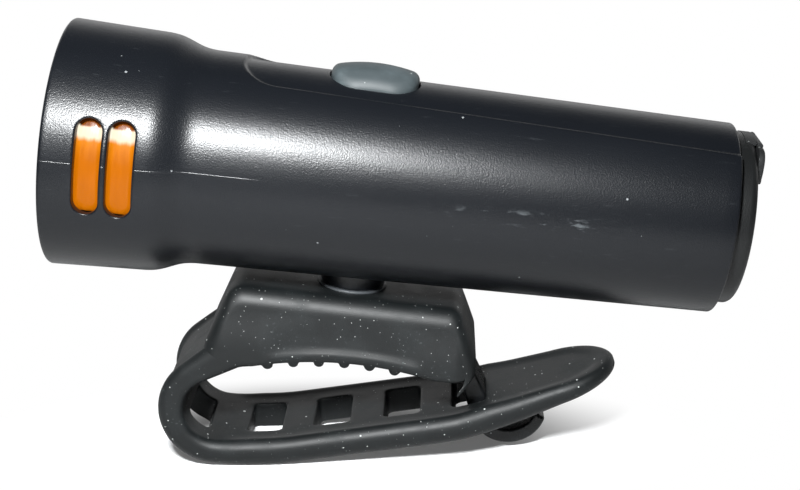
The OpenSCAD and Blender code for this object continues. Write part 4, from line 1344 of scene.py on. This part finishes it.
# %% Rubbers
def dusty_rubber(slot, colour, roughness, dusty, pale):
    fin = Finish(slot, colour, roughness, Specular_IOR_Level=0.36)
    grain = fin.noise(0.11, 2.0)
    film = fin.remap(fin.noise(5.5, 5.0, roughness=0.62), 0.42, 0.68)
    fine = fin.remap(fin.noise(0.45, 3.0, roughness=0.7), 0.60, 0.74)
    speck = 0.0
    for cell, radius in ((1.2, 0.11), (0.6, 0.055), (2.6, 0.20)):
        speck = fin.specks(cell, radius, 0.5 * dusty).at_least(speck)
    base = fin.mix(fine * film * 0.5 * dusty, fin.around(film, colour, 0.85, 1.3), pale)
    base = fin.mix(speck * 0.9, base, (0.40, 0.42, 0.41))
    fin.set({"Base Color": base, "Roughness": roughness + film * 0.08 - grain * 0.06})
    fin.bump(grain, 0.014)
    fin.bump(speck, 0.03)


dusty_rubber("strap_rubber", (0.0036, 0.0048, 0.0052), 0.52, 1.0, (0.09, 0.105, 0.105))
dusty_rubber("button_rubber", (0.042, 0.053, 0.057), 0.55, 0.1, (0.14, 0.16, 0.16))
dusty_rubber("cover_rubber", (0.012, 0.0125, 0.013), 0.5, 0.8, (0.10, 0.11, 0.11))
dusty_rubber("seal_rubber", (0.012, 0.012, 0.012), 0.5, 0.2, (0.06, 0.06, 0.06))
dusty_rubber("foam", (0.10, 0.10, 0.11), 0.9, 0.2, (0.16, 0.16, 0.16))
dusty_rubber("lead_insulation", (0.42, 0.03, 0.02), 0.42, 0.0, (0.45, 0.05, 0.04))
print("rubbers:", len(finishes))

# %% [markdown]
# The amber windows glow with painted light: no lamp shines inside them, and an emission colour
# stands in for the light through them. The painted glow is deep orange along their length, with a
# painted white-hot highlight just under their upper ends, painted shade at those ends, a painted
# glint at the foot and a dim brown, painted shade, at the bottom. The glow follows the height on
# the lamp, and a slow noise bends its bands.

# %% Amber windows
# Emission colours of the painted glow, all painted light: brown, orange and bright bands, a painted
# white-hot highlight, a painted glint at the foot and painted shade at the upper ends.
PAINTED_GLOW_BROWN, PAINTED_GLOW_ORANGE, PAINTED_GLOW_BRIGHT = (0.10, 0.018, 0.0), (0.50, 0.135, 0.0005), (0.82, 0.28, 0.01)
PAINTED_HIGHLIGHT, PAINTED_FOOT_GLINT, PAINTED_SHADE_CAP = (1.0, 0.93, 0.74), (0.62, 0.55, 0.50), (0.035, 0.008, 0.001)
UNLIT_LOW, UNLIT_HIGH = (0.05, 0.01, 0.0), (0.12, 0.03, 0.001)


def painted_glow_amber():
    fin = Finish("amber_window", (1.0, 0.30, 0.01), 0.3, Emission_Strength=1.0,
                 Specular_IOR_Level=0.1, Coat_Weight=0.05, Coat_Roughness=0.06)
    height = (fin.axes(fin.place)[2] - AXIS_Z) / MM
    flow = fin.noise(1.6, 3.0, fin.stretched((2.2, 1, 0.35)))
    wave = (flow - 0.5) * 2.2
    # Painted light: the emission colour is built band by band from the height on the lamp.
    painted_glow = PAINTED_GLOW_BROWN
    for level, low, high, colour in ((height + wave, -6.8, -4.4, PAINTED_GLOW_ORANGE),
                                     (height + wave, 2.0, 6.6, PAINTED_GLOW_BRIGHT),
                                     (height + wave * 0.35, 4.7, 5.6, PAINTED_HIGHLIGHT),
                                     (height, -7.1, -7.6, PAINTED_FOOT_GLINT),
                                     (height, 6.55, 6.9, PAINTED_SHADE_CAP)):
        painted_glow = fin.mix(fin.remap(level, low, high), painted_glow, colour)
    fin.set({"Emission Color": painted_glow, "Base Color": fin.mix(flow, UNLIT_LOW, UNLIT_HIGH)})
    fin.bump(flow, 0.05)


painted_glow_amber()
print("amber bands reach %.1f mm below and %.1f mm above the axis" % (7.6, 6.9))

# %% [markdown]
# The lens is clear and the bowl behind it is bright metal. Metals get the marks of how they were
# made: turning marks round the heat sink, drawing lines on the socket, a knurl on the insert.

# %% Glass and metals
lens = Finish("lens", (0.93, 0.95, 0.97), 0.03, Transmission_Weight=1.0, IOR=1.49)
lens.set({"Roughness": 0.02 + lens.remap(lens.noise(9, 3.0), 0.5, 0.8) * 0.05})
lens.bump(lens.noise(3.0, 2.0), 0.002)


def metal(slot, colour, roughness, size, scale=(1, 1, 1), depth=0.003):
    fin = Finish(slot, colour, roughness, Metallic=1.0)
    marks = fin.noise(size, 4.0, fin.stretched(scale), 0.6)
    tarnish = fin.remap(fin.noise(3.5, 3.0), 0.45, 0.75)
    fin.set({"Base Color": fin.around(tarnish, colour, 1.0, 0.72),
             "Roughness": roughness - 0.05 + marks * 0.12 + tarnish * 0.1})
    fin.bump(marks, depth)


metal("reflector", (0.90, 0.90, 0.92), 0.07, 4.0, depth=0.001)
metal("heat_sink", (0.70, 0.71, 0.73), 0.34, 0.3, (3, 0.25, 0.25))
metal("nickel", (0.70, 0.70, 0.68), 0.25, 0.25, (1, 1, 0.1))
metal("steel_shell", (0.62, 0.63, 0.64), 0.3, 0.2, (0.08, 1, 1))
metal("brass", (0.75, 0.55, 0.20), 0.3, 0.25, (1, 1, 0.2), 0.01)
metal("screw_steel", (0.55, 0.56, 0.58), 0.32, 0.22, (0.3, 0.3, 2))
print("finishes:", len(finishes))

# %% [markdown]
# Everything inside the housing is seen only when the lamp is taken apart. Those parts still get
# finishes with the grain and colour they have: moulded plastics, solder mask, phosphor and the
# cell's shrink wrap with its shrinkage wrinkles.

# %% Inner parts
def moulded(slot, colour, roughness, size=0.2, depth=0.006, spread=0.15, coat=0.0):
    fin = Finish(slot, colour, roughness, Coat_Weight=coat)
    grain = fin.noise(size, 3.0)
    cloud = fin.noise(size * 22, 3.0)
    fin.set({"Base Color": fin.around(cloud, colour, 1 - spread, 1 + spread),
             "Roughness": roughness - 0.05 + grain * 0.1})
    fin.bump(grain, depth)


moulded("white_plastic", (0.84, 0.84, 0.81), 0.4, spread=0.04)
moulded("carrier_plastic", (0.045, 0.05, 0.055), 0.5)
moulded("chip_plastic", (0.02, 0.02, 0.021), 0.45)
moulded("led_board", (0.83, 0.84, 0.82), 0.35, spread=0.05, coat=0.3)
moulded("circuit_board", (0.02, 0.13, 0.05), 0.3, size=0.35, spread=0.3, coat=0.5)
moulded("led_phosphor", (0.92, 0.82, 0.25), 0.25, size=0.3, spread=0.08, coat=0.6)
moulded("cell_can", (0.08, 0.26, 0.50), 0.28, size=0.8, depth=0.012, coat=0.3)
print("finishes:", len(finishes))

# %% [markdown]
# Each new piece takes the finish of its own slot, and each solid that is still shown takes the
# finish that its row names. No solid is left in plain colour.

# %% Handing out the finishes
node_slots = {part["node"]: part["material_slot"] for part in frame["record"]["subparts"]}
dressed = [(solid, node_slots[name]) for name, solid in frame["nodes"].items()]
dressed += [(piece, piece_slots[name]) for name, piece in pieces.items()]
for thing, slot in dressed:
    thing.data.materials.clear()
    thing.data.materials.append(finishes[slot])
print("dressed:", len(pieces), "pieces and", len(node_slots), "solids")

# %% [markdown]
# The lamp rests on its strap, on white paper. The paper touches the strap's bend and the lip of
# the hook, so it is tilted a little against the lamp's own frame. Far from the strap the paper is
# painted white by its own emission, painted light that hides the lamp's cast shadow there; close
# to the strap that emission fades to a tenth, and the contact shadow is kept. The paper sends a
# little less light back to the lamp than the camera sees on it, so the blacks stay black.

# %% Floor
FLOOR_TILT, FLOOR_LOW, FLOOR_SIZE = 7.7, (-15.0, -12.95), 6.0
floor_bm = bmesh.new()
bmesh.ops.create_grid(floor_bm, x_segments=1, y_segments=1, size=FLOOR_SIZE)
bmesh.ops.rotate(floor_bm, verts=floor_bm.verts, cent=(0, 0, 0),
                 matrix=Matrix.Rotation(-math.radians(FLOOR_TILT), 3, "Y"))
bmesh.ops.translate(floor_bm, verts=floor_bm.verts, vec=on_bike(FLOOR_LOW[0], 0, FLOOR_LOW[1]))
floor = mesh_object("paper", floor_bm)

paper = Finish("paper", (0.92, 0.92, 0.92), 0.9, Specular_IOR_Level=0.1)
x, y, z = paper.axes(paper.place)
from_strap = paper.add("ShaderNodeCombineXYZ", None,
                       {0: (x + 2 * MM) / (46 * MM), 1: (y + 2 * MM) / (22 * MM)})
span = paper.add("ShaderNodeVectorMath", {"operation": "LENGTH"}, {0: from_strap}, "Value")
# Painted light: the paper's white emission, faint by the strap and full far from it, hides the
# lamp's cast shadow there.
painted_glow = paper.add("ShaderNodeEmission", None, {"Color": (1.0, 1.0, 1.0), "Strength": 1.0})
plain = Value(paper.tree, paper.shader.outputs[0])
lit_and_painted_white = paper.add("ShaderNodeMixShader", None,
                {0: paper.remap(span, 0.55, 1.25, 0.10, 1.0), 1: plain, 2: painted_glow})
dimmer = paper.add("ShaderNodeBsdfDiffuse", None, {"Color": (0.48, 0.48, 0.48)})
seen, glossy = paper.rays()
both = paper.add("ShaderNodeMixShader", None, {0: seen, 1: dimmer, 2: lit_and_painted_white})
paper.set({"Surface": both}, paper.tree.nodes["Material Output"])
floor.data.materials.append(paper.material)
print("floor tilted %.1f degrees" % FLOOR_TILT)

# %% [markdown]
# The light is a small flash near the camera, up and a little to the left. It draws the long
# highlight on the tube and the crisp shadow of the saddle on the strap. The room is dim, but the
# white backdrop behind the lamp is bright, and it puts a grey edge on the top of the tube.

# %% Lights
ROOM_DIM, ROOM_FILL = 0.022, 0.075
world = bpy.data.worlds.new("room")
world.use_nodes = True
room = Nodes(world.node_tree, "Background")
behind, up = room.axes(room.add("ShaderNodeTexCoord", out="Generated"))[1:]
backdrop = room.remap(behind, 0.1, 0.6) * room.remap(up, 0.75, 0.2)
mirrored = ROOM_DIM + backdrop * (1 - ROOM_DIM)
seen, glossy = room.rays()
strength = seen + (1 - seen) * (glossy * mirrored + (1 - glossy) * ROOM_FILL)
room.set({"Strength": strength, "Color": (1.0, 1.0, 1.0)})
bpy.context.scene.world = world
bpy.context.scene.view_settings.view_transform = "Standard"


def add_flash(name, place, size, energy, colour):
    light = bpy.data.lights.new(name, "AREA")
    light.shape, light.size, light.energy, light.color = "DISK", size, energy, colour
    lamp = new_object(name, light)
    lamp.location = place
    lamp.rotation_euler = (LIT_SPOT - lamp.location).to_track_quat("-Z", "Y").to_euler()


LIT_SPOT = Vector((0, 0, 0.02))
add_flash("flash", (-0.04, -0.18, 0.165), 0.04, 1.65, (0.97, 0.99, 1.0))
add_flash("low_fill", (-0.07, -0.30, 0.075), 0.10, 0.06, (0.95, 0.98, 1.0))
